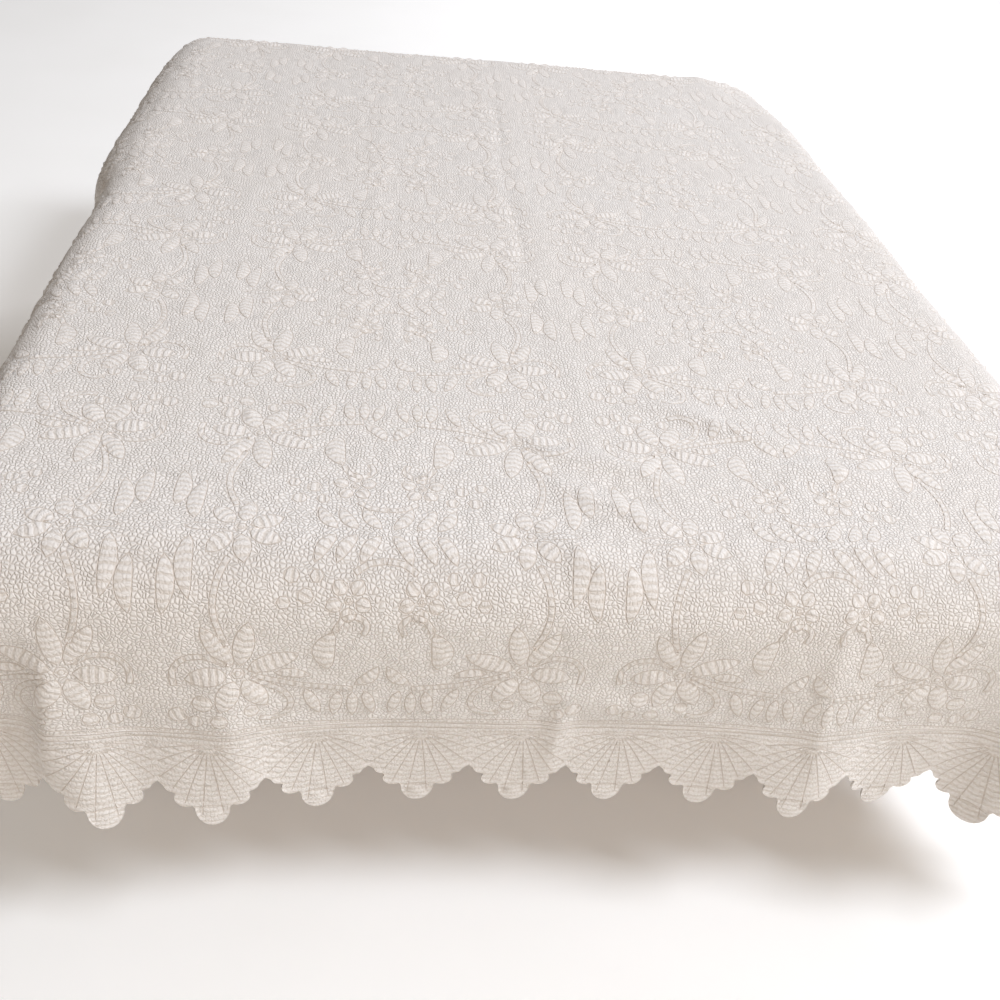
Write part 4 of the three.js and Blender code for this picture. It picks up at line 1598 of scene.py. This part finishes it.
@dataclass
class BedBase:
    """The low base: oak boards side by side on a darker plinth that is set back from their ends."""

    platform_low: Vector
    platform_high: Vector
    plinth_low: Vector
    plinth_high: Vector
    boards: int = 10
    board_gap: float = 0.003
    board_bevel: float = 0.004
    panel_margin: float = 0.055
    panel_slope: float = 0.006
    panel_depth: float = 0.010
    plinth_bevel: float = 0.005
    bevel_steps: int = 3
    crisp_angle: float = 35.0
    pale: OiledOak = OiledOak("pale_wood", "b98f5f", "8a6238", 0.5, (1.0, 9.0, 9.0))
    dark: OiledOak = OiledOak("dark_wood", "6f4c2c", "46301c", 0.55, (1.0, 1.0, 7.0))

    def block(self, name: str, low: Vector, high: Vector) -> bpy.types.Object:
        """Adds a squared block.

        Args:
            name: The piece's name.
            low: Its lowest corner.
            high: Its highest corner.
        Returns:
            The block, with its place in its vertices.
        """
        bpy.ops.object.select_all(action="DESELECT")
        bpy.ops.mesh.primitive_cube_add(size=1.0, location=(low + high) / 2)
        piece = bpy.context.object
        piece.name = piece.data.name = name
        piece.scale = high - low
        bpy.ops.object.transform_apply(location=True, rotation=True, scale=True)
        return piece

    def bevel(self, piece: bpy.types.Object, width: float) -> None:
        """Eases every edge of a piece.

        Args:
            piece: The piece.
            width: How wide the eased edge is.
        """
        modifier = piece.modifiers.new("eased", "BEVEL")
        modifier.width = width
        modifier.segments = self.bevel_steps
        modifier.limit_method = "ANGLE"
        bpy.context.view_layer.objects.active = piece
        bpy.ops.object.modifier_apply(modifier=modifier.name)
        bpy.ops.object.shade_smooth_by_angle(angle=math.radians(self.crisp_angle))

    def build_boards(self) -> bpy.types.Object:
        """Planes one board, eases its edges and lays copies side by side.

        Returns:
            The boards as one piece.
        """
        low, high = self.platform_low, self.platform_high
        pitch = (high.y - low.y + self.board_gap) / self.boards
        board = self.block("platform_boards", low, Vector((high.x, low.y + pitch - self.board_gap, high.z)))
        self.bevel(board, self.board_bevel)
        copies = [board]
        for i in range(1, self.boards):
            copy = board.copy()
            copy.data = board.data.copy()
            copy.data.transform(Matrix.Translation((0, pitch * i, 0)))
            bpy.context.collection.objects.link(copy)
            copies.append(copy)
        bpy.ops.object.select_all(action="DESELECT")
        for copy in copies:
            copy.select_set(True)
        bpy.context.view_layer.objects.active = board
        bpy.ops.object.join()
        return board

    def build_plinth(self) -> bpy.types.Object:
        """Cuts a sunk panel in each side of the plinth and eases its edges.

        Returns:
            The plinth.
        """
        plinth = self.block("plinth_panels", self.plinth_low, self.plinth_high)
        bpy.ops.object.mode_set(mode="EDIT")
        bpy.ops.mesh.select_all(action="DESELECT")
        bpy.ops.object.mode_set(mode="OBJECT")
        for face in plinth.data.polygons:
            face.select = abs(face.normal.z) < abs(face.normal.x) + abs(face.normal.y)
        bpy.ops.object.mode_set(mode="EDIT")
        bpy.ops.mesh.select_mode(type="FACE")
        bpy.ops.mesh.inset(thickness=self.panel_margin, use_individual=True)
        bpy.ops.mesh.inset(thickness=self.panel_slope, depth=-self.panel_depth, use_individual=True)
        bpy.ops.object.mode_set(mode="OBJECT")
        self.bevel(plinth, self.plinth_bevel)
        return plinth

    def build(self) -> list[bpy.types.Object]:
        """Makes and dresses the boards and the plinth.

        Returns:
            Both pieces.
        """
        made = []
        for piece, finish, node, slot in (
                (self.build_boards(), self.pale, "platform", "pale_wood"),
                (self.build_plinth(), self.dark, "plinth", "dark_wood")):
            piece.data.materials.clear()
            piece.data.materials.append(finish.material())
            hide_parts(node)
            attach(piece, "root")
            log.info("%s: %d faces", piece.name, len(piece.data.polygons))
            made.append(piece)
        return made


@dataclass(frozen=True)
class Lamp:
    """A soft light: where it hangs, what it points at, its size, its power and its colour."""

    name: str
    place: tuple[float, float, float]
    target: tuple[float, float, float]
    size: float
    power: float
    colour: str


@dataclass
class Studio:
    """A pale floor, soft lights and the camera at the photograph's angle."""

    floor_half: float = 14.0
    floor_colour: str = "f7f6f4"
    floor_mottle: str = "f2f1ee"
    floor_mottle_scale: float = 3.0
    floor_roughness: float = 0.95
    floor_glow: float = 0.19
    sky: str = "fff4ea"
    sky_strength: float = 0.18
    sensor: float = 36.0
    lens: float = 37.08
    eye: tuple[float, float, float] = (-0.2275, -1.8505, 1.4045)
    yaw: float = 8.436
    pitch: float = 38.301
    roll: float = -7.343
    lamps: tuple[Lamp, ...] = (
        Lamp("window", (4.2, -2.0, 6.0), (0.0, -0.3, 0.5), 2.0, 398.0, "eff5ff"),
        Lamp("front", (0.6, -6.0, 4.5), (0.0, -1.0, 0.4), 3.0, 112.0, "fff0e0"),
        Lamp("back", (3.2, 6.0, 4.4), (0.0, 0.0, 0.5), 2.0, 270.0, "f6f8ff"))

    def build(self) -> None:
        """Sets up the floor, the light and the camera."""
        bpy.ops.object.select_all(action="DESELECT")
        bpy.ops.mesh.primitive_plane_add(size=2 * self.floor_half, location=(0, 0, 0))
        floor = bpy.context.object
        floor.name = "studio_floor"
        floor.data.materials.append(self.floor_material())
        world = bpy.data.worlds.new("studio")
        bpy.context.scene.world = world
        world.use_nodes = True
        background = world.node_tree.nodes["Background"]
        background.inputs["Color"].default_value = linear(self.sky)
        background.inputs["Strength"].default_value = self.sky_strength
        for lamp in self.lamps:
            self.hang(lamp)
        self.set_camera()
        bpy.context.scene.view_settings.view_transform = "Standard"

    def floor_material(self) -> bpy.types.Material:
        """Builds a pale matt paper floor with a faint mottle and a little glow of its own.

        Returns:
            The material.
        """
        material, tree, shader = new_material("studio_paper")
        place = add_node(tree, "ShaderNodeTexCoord").outputs["Object"]
        mottle = noise(tree, place, self.floor_mottle_scale)
        colour = mix_colour(tree, mottle, self.floor_colour, self.floor_mottle)
        tree.links.new(colour, shader.inputs["Base Color"])
        tree.links.new(colour, shader.inputs["Emission Color"])
        shader.inputs["Emission Strength"].default_value = self.floor_glow
        shader.inputs["Roughness"].default_value = self.floor_roughness
        return material

    def hang(self, lamp: Lamp) -> None:
        """Hangs one square soft light.

        Args:
            lamp: The light.
        """
        data = bpy.data.lights.new(lamp.name, "AREA")
        data.size = lamp.size
        data.energy = lamp.power
        data.color = linear(lamp.colour)[:3]
        light = bpy.data.objects.new(lamp.name, data)
        light.location = lamp.place
        ahead = Vector(lamp.target) - Vector(lamp.place)
        light.rotation_euler = ahead.to_track_quat("-Z", "Y").to_euler()
        bpy.context.collection.objects.link(light)

    def set_camera(self) -> None:
        """Sets the camera from its yaw, pitch and roll."""
        yaw, pitch, roll = (math.radians(a) for a in (self.yaw, self.pitch, self.roll))
        ahead = Vector((math.sin(yaw) * math.cos(pitch), math.cos(yaw) * math.cos(pitch), -math.sin(pitch)))
        level = Vector((math.cos(yaw), -math.sin(yaw), 0.0))
        below = ahead.cross(level)
        right = math.cos(roll) * level + math.sin(roll) * below
        down = -math.sin(roll) * level + math.cos(roll) * below
        data = bpy.data.cameras.new("camera")
        data.lens = self.lens
        data.sensor_width = self.sensor
        camera = bpy.data.objects.new("camera", data)
        turned = Matrix((right, -down, -ahead)).transposed().to_4x4()
        camera.matrix_world = Matrix.Translation(self.eye) @ turned
        bpy.context.collection.objects.link(camera)
        bpy.context.scene.camera = camera


def main() -> None:
    """Builds every piece in order."""
    logging.basicConfig(level=logging.INFO, format="%(name)s %(message)s")
    low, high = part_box("mattress")
    drape = Drape(high.x / MM, high.y / MM, high.z / MM)
    Coverlet(drape).build()
    Mattress(low, high).build()
    BedBase(*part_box("platform"), *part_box("plinth")).build()
    Studio().build()


if __name__ == "__main__":
    main()
